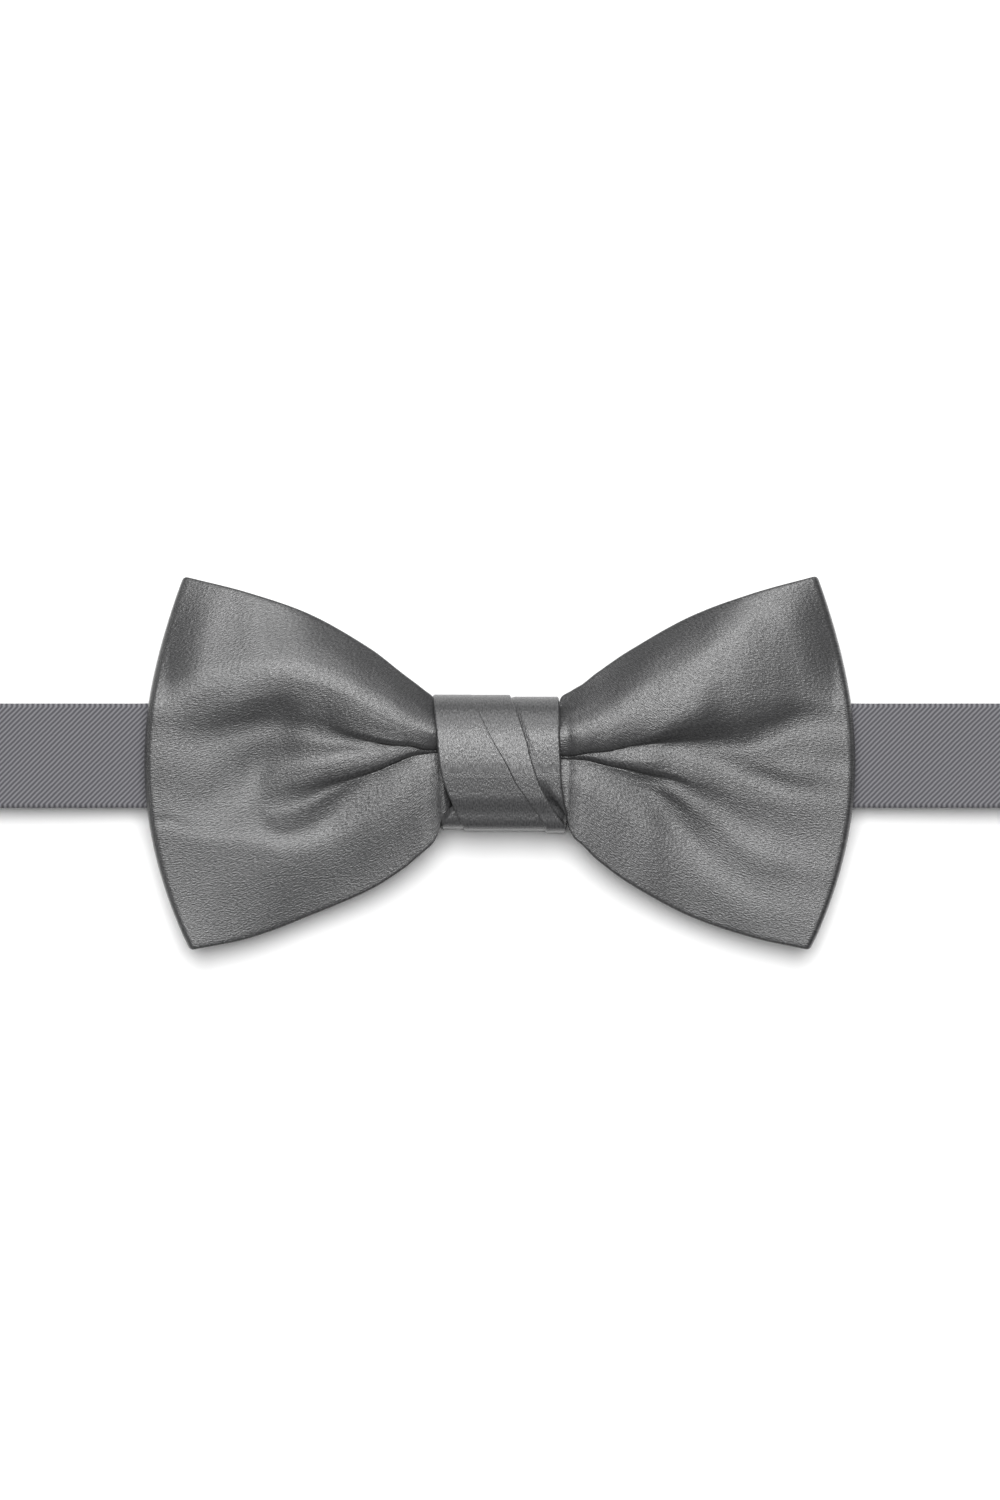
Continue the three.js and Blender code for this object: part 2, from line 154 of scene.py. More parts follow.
# Half height of each wing at a distance from the middle
OUTLINE = table(
    "distance left_top left_bottom right_top right_bottom",
    (8.5, 8.4, 8.4, 8.4, 8.4),
    (9.8, 8.7, 9.3, 9.9, 8.5),
    (10.4, 9.4, 11.5, 11.3, 8.6),
    (11.2, 11.1, 13.2, 11.9, 8.9),
    (11.8, 11.75, 13.9, 12.2, 11.2),
    (12.6, 12.3, 14.6, 12.7, 12.6),
    (14.0, 13.4, 15.8, 13.5, 13.8),
    (16.4, 15.2, 17.8, 15.4, 16.2),
    (22.0, 19.5, 21.3, 19.2, 20.3),
    (32.0, 25.2, 25.6, 24.8, 25.7),
    (42.5, 28.9, 29.5, 28.7, 29.3),
    (53.0, 31.6, 31.6, 31.6, 31.6),
)

# Height of the cloth inside the knot, and how it falls off towards its edges
KNOT_CLOTH = {"crown": 12.7, "edge": 12.1, "droop": 2.5}

# Height of the middle of the band's front run above the back run's own middle
FRONT_RUN = table(
    "distance rise",
    (0, 4.0), (12, 4.0), (29, 4.9), (42, 5.6), (58, 6.5), (76, 7.7), (92, 8.0),
)

# The front of each wing, as lines along its folds from the upper edge to the lower one. Y is the
# line's height at a distance from the middle, and the slope is in degrees, above 0 where the cloth
# faces the upper edge. Some lines also have the cloth's own height above the floor.
LEFT_LINES = named_tables("distance y slope height", {
    "upper edge": [
        (10, 9, 20, 13.5), (15, 14.4, 21, 13.2), (21, 19, 24, 13), (25, 21.4, 25, 13.1),
        (29, 23.8, 24, 13.1), (33, 25.6, 20, 13.4), (37, 27.3, 14, 13.5), (41, 28.5, 14.6, 13.4),
        (45, 29.6, 11, 13), (50, 31, 13, 12.4), (56, 32, 14, 11.7)],
    "upper lobe": [
        (10, 7.8, 24), (15, 11.4, 21), (21, 16.3, 23), (25, 18.6, 24), (29, 20.3, 25), (33, 21, 21),
        (37, 20.3, 21), (41, 19.8, 19), (45, 19, 18), (50, 19, 17), (56, 18, 14)],
    "upper rise": [
        (10, 6.5, 12), (15, 9, 14), (21, 13.2, 16), (25, 15.2, 15.5), (29, 17, 17), (33, 18.2, 17),
        (37, 18.2, 18), (41, 18, 17), (45, 17.4, 17), (50, 16.6, 16), (56, 14.5, 12)],
    "upper ridge": [
        (10, 5.4, 3, 15.5), (12.5, 6.2, 3, 15.7), (15, 7.3, 3, 15.9), (18, 9, 3, 16.1),
        (21, 10.7, 3, 16.2), (25, 12.8, 3, 16.4), (29, 14.4, 3, 16.5), (33, 15.4, 3, 16.6),
        (37, 15.9, 3, 16.6), (41, 15.5, 3, 16.5), (45, 14.7, 3, 16.4), (50, 13.9, 3, 16.2),
        (56, 10.8, 2, 15.9)],
    "upper bend": [
        (10, 4.9, -6), (12.5, 5.3, -6), (15, 6, -6.5), (18, 7.3, -6), (21, 8.6, -8), (25, 10.5, -9.5),
        (29, 12.2, -8.5), (33, 13.1, -7.8), (37, 13.4, -8), (41, 12.7, -6.5), (45, 11.8, -5.5),
        (50, 10.8, -7), (56, 9.2, -3)],
    "upper flank": [
        (10, 3.9, -10), (12.5, 4, -10), (15, 4.5, -10), (18, 5.5, -9.8), (21, 6.5, -12.5), (25, 8, -13),
        (29, 9, -13), (33, 9.6, -12), (37, 10.2, -19), (41, 9.5, -19), (45, 8.6, -16), (50, 7.2, -13),
        (56, 7.3, -6)],
    "flank foot": [
        (10, 3.3, -12), (12.5, 3.2, -13), (15, 3.8, -12), (18, 4.1, -10.5), (21, 4.8, -12), (25, 6, -15),
        (29, 6.9, -17.5), (33, 7.7, -15.5), (37, 8, -15.5), (41, 8, -21), (45, 7.4, -18),
        (50, 6.2, -13.5), (56, 6.6, -5.5)],
    "below crease": [
        (10, 2.56, -16), (12.5, 2.52, -20), (15, 3, -12), (18, 3.15, -9), (21, 3.4, -9), (25, 4.4, -15),
        (29, 5.7, -12), (33, 6.5, -10), (37, 6.9, -10), (41, 6.8, -12), (45, 6.2, -12), (50, 5, -8.5),
        (56, 5, -3.7)],
    "middle ridge": [
        (10, 2.52, -10), (12.5, 2.46, -17), (15, 2.5, -5), (18, 2.55, -3), (21, 2.65, -4.3),
        (25, 3.5, -5.3), (29, 4.05, -3), (33, 5.15, -2.8), (37, 5.7, -4.3), (41, 5.2, -4.7),
        (45, 4, -4.2), (50, 2.6, -2.8), (56, 3, -2)],
    "middle lens": [
        (10, 2.48, -8), (12.5, 2.4, -14), (15, 2.3, -8), (18, 2.3, -4.5), (21, 2.4, -4), (25, 2.7, -11),
        (29, 2.7, -10.3), (33, 2.9, -9.5), (37, 2.6, -9), (41, 2.5, -10.5), (45, 0.6, -7), (50, -4, -7),
        (56, -2.2, -5)],
    "curled ridge": [
        (10, 2.45, -7, 13.9), (12.5, 2.32, -9, 13.9), (15, 2.15, -10, 14.3), (18, 2, -6.5, 14.6),
        (21, 2.1, -4, 14.6), (25, 1.75, -1.5, 14.6), (29, 0.85, -1, 14.55), (33, 0.05, -0.8, 14.35),
        (37, -0.9, 0, 13.9), (41, -4, 2, 13.4), (45, -7.8, 0, 13.45), (50, -9.5, -0.5, 13.65),
        (56, -8, -1.5, 14.1)],
    "curl foot": [
        (10, 2.3, -6), (12.5, 2.15, -7), (15, 1.95, -14), (18, 1.3, -13), (21, 0.9, -11),
        (25, 0.3, -10.5), (29, -0.7, -11.5), (33, -1.5, -8.8), (37, -2.6, -8), (41, -4.9, 0),
        (45, -8.5, 1), (50, -9.8, 0), (56, -8.2, -1.2)],
    "hollow": [
        (10, 2.05, -5), (12.5, 1.85, -5.5), (15, 1.75, -16), (18, 0.85, -17), (21, 0, -20),
        (25, -1.2, -21), (29, -2.6, -23), (33, -4, -20), (37, -4.6, -15), (39.2, -5, -8.5),
        (41, -5.6, -1.2), (45, -9, 1.5), (50, -10.1, 0.5), (56, -8.4, -1)],
    "below hollow": [
        (10, 1.8, -4), (12.5, 1.6, -4), (15, 1.2, -12), (18, 0.1, -17), (21, -1.4, -18), (25, -2.7, -18),
        (29, -3.6, -21), (33, -5.2, -17), (37, -5.6, -14), (39.2, -5.9, -7.5), (41, -6.5, -1.8),
        (45, -9.4, 2), (50, -10.3, 1), (56, -8.6, -0.7)],
    "small ridge": [
        (10, 1.6, -3), (12.5, 1.3, -3), (15, 0.8, -9.5), (18, -0.5, -9.5), (21, -2.1, -12.5),
        (25, -3.1, -20), (29, -4.55, -10), (33, -6.5, -8), (37, -7.6, -8), (39.2, -7.8, -5),
        (41, -7.8, -1.8), (45, -9.8, 2), (50, -10.5, 1.3), (56, -8.8, -0.4)],
    "lower lens": [
        (10, 1.45, -2), (12.5, 1, -1.5), (15, 0.4, -6.5), (18, -1.2, -7), (21, -2.9, -9), (25, -4, -17),
        (29, -5.8, -19), (33, -8, -16), (37, -9.3, -14), (39.2, -9.2, -8.8), (41, -9, -1),
        (45, -10.2, 1.7), (50, -10.7, 1.3), (56, -9, -0.2)],
    "pocket wall": [
        (10, 1.3, -1), (12.5, 0.8, -0.5), (15, 0, -3), (18, -2, -4), (21, -3.9, -4.7), (25, -5.6, -10.5),
        (29, -8.4, -13), (33, -10.2, -14.5), (37, -11.1, -14), (39.2, -10.6, -8), (41, -10, -0.5),
        (45, -10.6, 1.3), (50, -10.9, 1), (56, -9.2, 0)],
    "wall top": [
        (10, 1.1, 0), (12.5, 0.5, 0.5), (15, -0.3, -1.5), (18, -2.6, -1), (21, -4.9, -1.5),
        (25, -7.2, -3.5), (29, -9.6, -4.5), (33, -11.3, -6), (37, -11.9, -6), (39.2, -11.4, -3),
        (41, -10.8, 0), (45, -11, 1), (50, -11.1, 0.8), (56, -9.4, 0)],
    "lower ridge": [
        (10, 0.9, 1, 13.6), (12.5, 0.1, 2, 13.55), (15, -0.8, 1, 13.45), (18, -3.7, 1, 13.3),
        (21, -6.6, 0, 13.05), (25, -9.1, 1, 12.65), (29, -11.3, 1, 12.4), (33, -12.4, 1, 12.45),
        (37, -12.6, 2, 12.7), (41, -11.8, 2, 13), (45, -11.5, 0.5, 13.3), (50, -11.4, 0, 13.6),
        (56, -9.7, -0.5, 13.9)],
    "lower shoulder": [
        (10, -2.5, -6), (12.5, -3, -6), (15, -5.8, -6), (18, -7.5, -7), (21, -10.2, -7), (25, -12.8, -8),
        (29, -14.6, -8), (33, -15.8, -8.5), (37, -15.9, -7.7), (41, -15, -7), (45, -14.4, -7),
        (50, -13.8, -7.5), (56, -12.4, -7.5)],
    "lower lobe": [
        (10, -6, -9), (12.5, -8, -9.5), (15, -9.5, -10.3), (18, -12, -10), (21, -14, -9),
        (25, -16.5, -8.5), (29, -18.3, -9.5), (33, -19.5, -9.5), (37, -20, -9), (41, -21, -9),
        (45, -22, -8), (50, -21, -6.5), (56, -19, -7)],
    "lower edge": [
        (10, -9.5, -7, 12.3), (12.5, -14.6, -7, 12.1), (15, -16.4, -6, 11.9), (18, -18.7, -5.5, 11.6),
        (21, -20.7, -4.5, 11.3), (25, -22.6, -5, 10.9), (29, -24.4, -8, 10.6), (33, -26, -9, 10.4),
        (37, -27.6, -10, 10.5), (41, -29.1, -9, 10.8), (45, -30.2, -6.5, 11.2), (50, -31.2, -3.5, 11.8),
        (56, -31.8, -2, 12.4)],
})

RIGHT_LINES = named_tables("distance y slope height", {
    "upper edge": [
        (10, 9, 20, 13.4), (15, 14.3, 16, 13.1), (21, 18.6, 22, 12.7), (25, 21.2, 21, 12.9),
        (29, 23.3, 23, 13.3), (33, 25.2, 21, 14), (37, 27, 21, 14.7), (41, 28.4, 13.5, 15.4),
        (45, 29.5, 10, 15.7), (50, 31, -1, 15.8), (56, 32, -3, 15.6)],
    "upper lobe": [
        (10, 7.8, 22), (15, 11.3, 20), (21, 15.3, 22), (25, 18.3, 24), (29, 20.8, 23), (33, 22.8, 20),
        (37, 24.6, 19.5), (41, 26, 12.5), (45, 27.5, 10), (50, 28, -2), (56, 29, -4)],
    "upper rise": [
        (10, 6.5, 12), (15, 8.6, 14), (21, 12.8, 15), (25, 15.3, 14.5), (29, 17.5, 14.5),
        (33, 19.9, 14.4), (37, 22.2, 12.8), (41, 24.2, 10.5), (45, 25.5, 9), (50, 26, -3), (56, 27, -5)],
    "upper ridge": [
        (10, 5, 2, 15.5), (12.5, 5.6, 2, 15.6), (15, 6.4, 2, 15.8), (18, 7.9, 2, 16), (21, 10.1, 3, 16.2),
        (25, 12.5, 3, 16.4), (29, 14.3, 3.5, 16.6), (33, 16.5, 3, 16.7), (37, 19.2, 2, 16.7),
        (41, 22.2, 3, 16.6), (45, 23, 2, 16.3), (50, 23.5, -3, 15.9), (56, 23, -4, 15.4)],
    "upper back": [
        (10, 4.5, -3), (12.5, 5.1, -1), (15, 5.8, -1), (21, 8.2, -1), (25, 10, -0.5), (29, 11.6, 0),
        (33, 13.6, -0.7), (37, 16, -0.8), (41, 18, -1.4), (45, 18.5, -2.2), (50, 18.5, -3.5),
        (56, 17, -5)],
    "upper bend": [
        (10, 3.9, -7), (12.5, 4.4, -6), (15, 4.5, -6.3), (18, 5, -6), (21, 6, -6), (25, 7.5, -6),
        (29, 9.1, -6), (33, 10.2, -6), (37, 12, -5.7), (41, 12.2, -6), (45, 12.1, -6.5), (50, 12, -5.5),
        (56, 11, -4)],
    "upper flank": [
        (10, 3, -10), (12.5, 3.1, -10), (15, 3.6, -11), (18, 4, -11.5), (21, 5, -12), (25, 5.8, -11.5),
        (29, 7.4, -11.5), (33, 8.6, -12), (37, 9.3, -12), (41, 9.2, -11.5), (45, 9.2, -14),
        (50, 9.6, -15), (56, 9.5, -7)],
    "flank foot": [
        (10, 2.4, -14), (12.5, 2.5, -17), (15, 2.8, -18), (18, 3, -19), (21, 3.9, -17), (25, 4.9, -18),
        (29, 6.4, -20), (33, 7.5, -20), (37, 8, -18), (41, 7.5, -18), (45, 7.5, -20), (50, 8.7, -16),
        (56, 8.4, -7)],
    "below crease": [
        (10, 1.62, -10), (12.5, 1.66, -11), (15, 1.75, -8), (18, 2.15, -6), (21, 2.75, -7),
        (25, 3.3, -10), (29, 3.4, -14), (33, 3.5, -15), (37, 3.6, -15), (41, 4, -13), (45, 5, -8.7),
        (50, 7.6, -8.7), (56, 7.6, -5)],
    "branch": [
        (10, 1.58, -9), (12.5, 1.6, -9.5), (15, 1.55, -6), (18, 1.95, -4), (21, 2.3, -2), (25, 2.75, -1),
        (29, 2.7, -1.5), (33, 2.8, -8), (37, 2.6, -5.8), (41, 2.3, -4.3), (45, 3.3, -3), (50, 5.6, -0.8),
        (56, 6.3, -1.6)],
    "branch foot": [
        (10, 1.55, -8.7), (12.5, 1.56, -9), (15, 1.5, -6), (18, 1.87, -4), (21, 2.22, -1.7),
        (25, 2.6, -0.7), (29, 2.55, -1.1), (33, 2.55, -6.5), (37, 2.1, -7), (41, 1.5, -9), (45, 1.6, -7),
        (50, 3, -4.3), (56, 2, -7)],
    "fan ridge": [
        (10, 1.52, -8.5), (12.5, 1.52, -8.5), (15, 1.45, -6), (18, 1.8, -4), (21, 2.15, -1.5),
        (25, 2.5, -0.5), (29, 2.4, -0.8), (33, 2.3, -4.5), (37, 1.7, -8.3), (41, 0.9, -9.7),
        (45, 0.5, -7.7), (50, 0, -2), (56, -1, -2)],
    "oval": [
        (10, 1.48, -8), (12.5, 1.48, -8.3), (15, 1.4, -6.5), (18, 1.72, -4.5), (21, 2.08, -1.2),
        (25, 2.35, -0.2), (29, 2.2, -0.4), (33, 1.9, -2), (37, 1.3, -7.5), (41, 0, -10), (45, -1.2, -14),
        (50, -2.7, -12), (56, -3.3, -5.6)],
    "middle ridge": [
        (10, 1.42, -7, 13.85), (12.5, 1.42, -8, 13.85), (15, 1.32, -7.5, 14), (18, 1.6, -5.5, 14.35),
        (21, 1.95, -1, 14.4), (25, 2.15, 0, 14.3), (29, 1.9, 0, 14), (33, 1.2, 0, 13.8),
        (37, -0.6, 0, 13.6), (41, -2.4, -1.5, 13.5), (45, -3.9, -0.8, 13.4), (50, -5.4, -1.8, 13.35),
        (56, -6.2, -4, 13.3)],
    "ridge foot": [
        (10, 1.25, -6), (12.5, 1.25, -6.5), (15, 1.2, -10), (18, 1.1, -9), (21, 1, -6.5), (25, 0.8, -6),
        (29, 0.9, -5), (33, -0.8, -6.5), (37, -2, -7), (41, -4, -7.5), (45, -5.2, -6), (50, -7, -6),
        (56, -8.5, -5.5)],
    "hollow": [
        (10, 0.95, -5), (12.5, 1, -6), (15, 1.1, -12), (18, 0.6, -18), (21, 0, -20), (25, -0.2, -20),
        (29, -1, -12), (33, -3, -14), (37, -5.1, -16), (41, -6.9, -12), (45, -7.2, -10.5), (50, -8.5, -8),
        (56, -9, -5.5)],
    "below hollow": [
        (10, 0.7, -4), (12.5, 0.6, -4.5), (15, 0.6, -11), (18, -0.4, -16), (21, -1.7, -18),
        (25, -2.4, -24), (29, -2.8, -14), (33, -4.3, -17), (37, -5.7, -14), (41, -7.9, -11),
        (45, -8.5, -9.5), (50, -10, -7.5), (56, -10.5, -5)],
    "small ridge": [
        (10, 0.4, -3), (12.5, 0.2, -3.5), (15, 0.2, -9), (18, -0.8, -11), (21, -2, -11), (25, -3.2, -17),
        (29, -3.75, -9.5), (33, -6, -5.5), (37, -8.6, -4), (41, -12, -1), (45, -14, -1),
        (50, -15.3, -1.5), (56, -16.6, -2.5)],
    "lower lens": [
        (10, 0, -2), (12.5, -0.3, -2.5), (15, -0.3, -5.5), (18, -1.3, -7.5), (21, -2.6, -8),
        (25, -3.9, -19), (29, -5.7, -24), (33, -8.7, -17), (37, -11.7, -10.5), (41, -16, -8.5),
        (45, -18.2, -9), (50, -18.9, -6), (56, -20.5, -5)],
    "lens foot": [
        (10, -0.5, -1), (12.5, -0.7, -1.5), (15, -0.8, -2), (18, -2.1, -4), (21, -3.6, -4),
        (25, -4.7, -9), (29, -7, -15), (33, -10.5, -13), (37, -14, -8.5), (41, -18, -6.5), (45, -20, -6),
        (50, -20.5, -4.3), (56, -22, -4.5)],
    "lower ridge": [
        (10, -1.2, 1.5, 13.4), (12.5, -1.8, 2, 13.35), (15, -1.7, 3, 13.25), (18, -4, 1, 13.1),
        (21, -5.9, 1, 12.85), (25, -8.2, 1, 12.45), (29, -11.8, 1, 11.95), (33, -15.4, -0.8, 11.75),
        (37, -19, -1.5, 11.75), (41, -21.9, -1, 11.75), (45, -23.2, -2, 11.8), (50, -23.5, -2, 11.9),
        (56, -24, -2, 12)],
    "lower shoulder": [
        (10, -4, -5.5), (12.5, -5, -4), (15, -6, -4), (18, -8, -5), (21, -9.8, -5.6), (25, -13, -5),
        (29, -16, -5.4), (33, -19.5, -5.7), (37, -22.4, -3), (41, -25.4, -2.8), (45, -26.2, -3.2),
        (50, -26.5, -3.2), (56, -27, -4)],
    "lower lobe": [
        (10, -7, -5), (12.5, -9, -3), (15, -10.5, -3.5), (18, -13, -5.5), (21, -15.8, -5.3),
        (25, -18, -6.5), (29, -20.5, -7), (33, -22.7, -7), (37, -25, -3.3), (41, -27.2, -4),
        (45, -28, -3.3), (50, -29, -3.6), (56, -29.5, -4)],
    "lower edge": [
        (10, -9.5, -5, 12.6), (12.5, -12.8, -5, 12.5), (15, -14.8, -5.5, 12.3), (18, -17.3, -6, 12),
        (21, -19.6, -6, 11.7), (25, -22.2, -8, 11.3), (29, -24.3, -8.5, 10.9), (33, -26.2, -7, 10.7),
        (37, -27.8, -4, 10.8), (41, -29, -4.8, 11), (45, -30, -3.5, 11.2), (50, -31.2, -3.5, 11.3),
        (56, -31.8, -4, 11.6)],
})

WING_LINES = {-1: LEFT_LINES, 1: RIGHT_LINES}

# Sharp creases near the knot, each at a height Y: how far the cloth drops there towards the lower
# edge, and over what width
LEFT_CREASES = named_tables("distance y drop width", {
    "upper crease": [
        (10, 2.9, 0.95, 0.6), (12.5, 2.85, 0.9, 0.6), (15, 3.4, 0.85, 0.5), (18, 3.6, 0.8, 0.5),
        (21, 4.1, 0.9, 0.6), (25, 5.1, 0.4, 1), (29, 6.4, 0, 1.2)],
    "hollow crease": [
        (10, 2.2, 0.35, 0.45), (12.5, 2.05, 0.42, 0.45), (15, 1.7, 0.55, 0.5), (18, 0.5, 0.75, 0.5),
        (21, -0.75, 0.85, 0.6), (25, -2, 0.6, 0.8), (29, -3.1, 0.2, 1), (33, -4.3, 0, 1.2)],
})

RIGHT_CREASES = named_tables("distance y drop width", {
    "upper crease": [
        (10, 1.8, 0.95, 0.6), (12.5, 1.85, 0.9, 0.6), (15, 2.3, 0.85, 0.5), (18, 2.55, 0.8, 0.5),
        (21, 3.25, 0.95, 0.6), (25, 3.95, 1.3, 0.9), (29, 4.8, 1.7, 2.2), (33, 5.3, 1.5, 3),
        (37, 5.7, 0.8, 3.6), (41, 5.6, 0.3, 4), (45, 6.5, 0, 4)],
    "hollow crease": [
        (10, 1.15, 0.35, 0.45), (12.5, 1.12, 0.42, 0.45), (15, 0.95, 0.55, 0.5), (18, 0.2, 0.75, 0.5),
        (21, -0.4, 0.9, 0.6), (25, -1.3, 0.9, 0.9), (29, -2.1, 0.5, 1), (33, -3.5, 0.1, 1.2),
        (36, -4.4, 0, 1.2)],
})

CREASES = {-1: LEFT_CREASES, 1: RIGHT_CREASES}

# The knot's lines over its front, as X at a height Y: the edges of both turns and the pleat
KNOT_LINES = table(
    "y inner_left outer_left pleat step right",
    (11.7, -10.6, -11.3, -5.0, 1.8, 10.0),
    (8.3, -10.4, -11.0, -3.5, 3.1, 10.1),
    (4.0, -10.2, -10.6, -1.4, 4.5, 10.1),
    (0.0, -9.9, -10.2, 0.9, 5.5, 10.3),
    (-3.5, -9.1, -9.4, 2.7, 6.7, 10.4),
    (-6.2, -7.9, -8.4, 4.6, 8.0, 10.7),
    (-8.2, -7.6, -7.7, 5.8, 9.0, 10.9),
    (-9.4, -8.6, -7.3, 6.5, 9.7, 11.1),
    (-11.5, -9.9, -6.2, 7.6, 11.1, 11.4),
)

# Steps of the meshes
STEPS = {
    "front": 128, "middle": 8, "turn": 14, "back": 20, "back_middle": 6, "rows": 120, "rim": 5,
    "gathers_round": 180, "gathers_along": 25,
    "knot_around": 160, "knot_across": 40, "knot_edge": 5, "knot_measured": 4000,
    "band_front": 241, "band_back": 60, "band_turn": 24, "band_across": 40,
    "clasp_turn": 16, "sewn_end": 12, "bevel": 3,
    "floor": 20,
}

ROWS = {
    "crowding": 0.4,  # how much closer together the bow's rows are at its middle than on average
    "eased_over": (-1.2, -0.6, 0, 0.6, 1.2),  # distances over which their outline is averaged
    "edge_power": 4,  # how soon, towards an edge, they follow the true outline instead
}
COLUMN_CROWDING = 1.3  # power that draws a wing's columns towards the knot
LEAST_GAP = 0.05  # between two fold lines

# Looks of the materials. A grain is the scale of a noise, and a bump is a depth in metres.
SATIN = {
    "bow_shade": 0.034,
    # The knot is the same satin as the bow, painted lighter: its higher shade paints in the brighter
    # light and highlights on the knot.
    "knot_painted_lighter_shade": 0.047,
    "dark": (0.35, 0.35, 0.37),  # this and light are times the shade
    "light": (1.65, 1.65, 1.68),
    "threads": (1.0, 2.2, 1.0),
    "grain": 1900,
    "detail": 4,
    "roughness": (0.42, 0.26),
    "ior": 1.58,
    "bump": 0.0001,
}

TWILL = {
    "dark": (0.045, 0.044, 0.052),
    "light": (0.165, 0.163, 0.175),
    "rib_pitch": 0.62,
    "slant": (1.0, -1.0, 0.0),
    "waver": 0.6,
    "roughness": 0.8,
    "bump": 0.00012,
    "bump_strength": 0.8,
}

STEEL = {
    "dark": (0.42, 0.42, 0.43),
    "light": (0.6, 0.6, 0.61),
    "brushing": (30, 1, 1),
    "grain": 400,
    "detail": 3,
    "roughness": (0.22, 0.38),
}

FLOOR = {
    "half_size": 2000,
    "dark": (0.87, 0.87, 0.87),
    "light": (0.88, 0.88, 0.88),
    "grain": 60,
    "detail": 4,
    "roughness": 0.9,
    "specular": 0.1,
}

# Between these values a noise texture has nearly all of its own
NOISE_RANGE = (0.3, 0.7)

# Each softbox has a tilt and an angular radius in degrees, and the brightness it gives a white floor
LIGHT = {
    "distance": 2.5,
    "key": {"tilt": 9, "radius": 14.5, "floor": 1.2},
    "upper": {"tilt": 46, "radius": 20, "floor": 0.34},
    "world": 0.07,
}

CAMERA = {"height": 0.961, "y": 0.00236, "lens": 135, "sensor": 36}


# Small helpers

def mix(a, b, share):
    return a + (b - a) * share


def smooth(value, start, end):
    t = np.clip((value - start) / (end - start), 0, 1)
    return t * t * (3 - 2 * t)


def signed_power(value, power):
    return np.sign(value) * np.abs(value) ** power


def pick(values, index):
    return np.take_along_axis(values, index[..., None], -1)[..., 0]


def neighbours(count):
    """The places before and after each place in a row."""
    return np.maximum(np.arange(count) - 1, 0), np.minimum(np.arange(count) + 1, count - 1)


def curve(ends, rates, span, share):
    """A smooth curve between two values, with the rates at which it leaves and reaches them."""
    straight = mix(*ends, share * share * (3 - 2 * share))
    return straight + span * share * (1 - share) * ((1 - share) * rates[0] - share * rates[1])


def read_table(rows, key, column, at):
    """One column of a table as a smooth curve over its key column."""
    order = np.argsort(rows[key])
    keys, values = rows[key][order], rows[column][order]
    before, after = neighbours(len(keys))
    rates = (values[after] - values[before]) / (keys[after] - keys[before])
    at = np.clip(at, keys[0], keys[-1])
    i = np.clip(np.searchsorted(keys, at, side="right") - 1, 0, len(keys) - 2)
    span = keys[i + 1] - keys[i]
    ends, end_rates = (values[i], values[i + 1]), (rates[i], rates[i + 1])
    return curve(ends, end_rates, span, (at - keys[i]) / span)


def grid_faces(columns, rows, wrap_columns=False, wrap_rows=False):
    """Quads of a grid of points numbered column by column."""
    i, j = np.meshgrid(
        np.arange(columns if wrap_columns else columns - 1),
        np.arange(rows if wrap_rows else rows - 1),
        indexing="ij",
    )
    next_i, next_j = (i + 1) % columns, (j + 1) % rows
    corners = [i * rows + j, next_i * rows + j, next_i * rows + next_j, i * rows + next_j]
    return np.stack(corners, -1).reshape(-1, 4)


def make_object(name, points, faces, material, cloth=None):
    """A smooth mesh from points in millimetres. The cloth coordinates run along and across the cloth."""
    mesh = bpy.data.meshes.new(name)
    points = np.asarray(points, float).reshape(-1, 3)
    mesh.from_pydata((points * MM).tolist(), [], [list(map(int, face)) for face in faces])
    if cloth is not None:
        layer = mesh.attributes.new("cloth", "FLOAT_VECTOR", "POINT")
        flat = np.zeros((len(points), 3), np.float32)
        flat[:, :2] = np.asarray(cloth, float).reshape(-1, 2) * MM
        layer.data.foreach_set("vector", flat.ravel())
    mesh.validate()
    tool = bmesh.new()
    tool.from_mesh(mesh)
    bmesh.ops.recalc_face_normals(tool, faces=tool.faces)
    tool.to_mesh(mesh)
    tool.free()
    mesh.shade_smooth()
    obj = bpy.data.objects.new(name, mesh)
    bpy.context.scene.collection.objects.link(obj)
    obj.data.materials.append(material)
    return obj


def make_piece(name, node, points, faces, material, cloth):
    """A mesh of the model that takes the place of a solid."""
    obj = make_object(name, points, faces, material, cloth)
    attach(obj, "root")
    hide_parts(node)
    return obj


def unit(vectors):
    return vectors / np.maximum(np.linalg.norm(vectors, axis=-1, keepdims=True), 1e-9)


def length_along(points, axis):
    """Distance walked along one axis of a grid of points."""
    steps = np.linalg.norm(np.diff(points, axis=axis), axis=-1)
    start = np.zeros_like(np.take(steps, [0], axis))
    return np.cumsum(np.concatenate([start, steps], axis), axis)


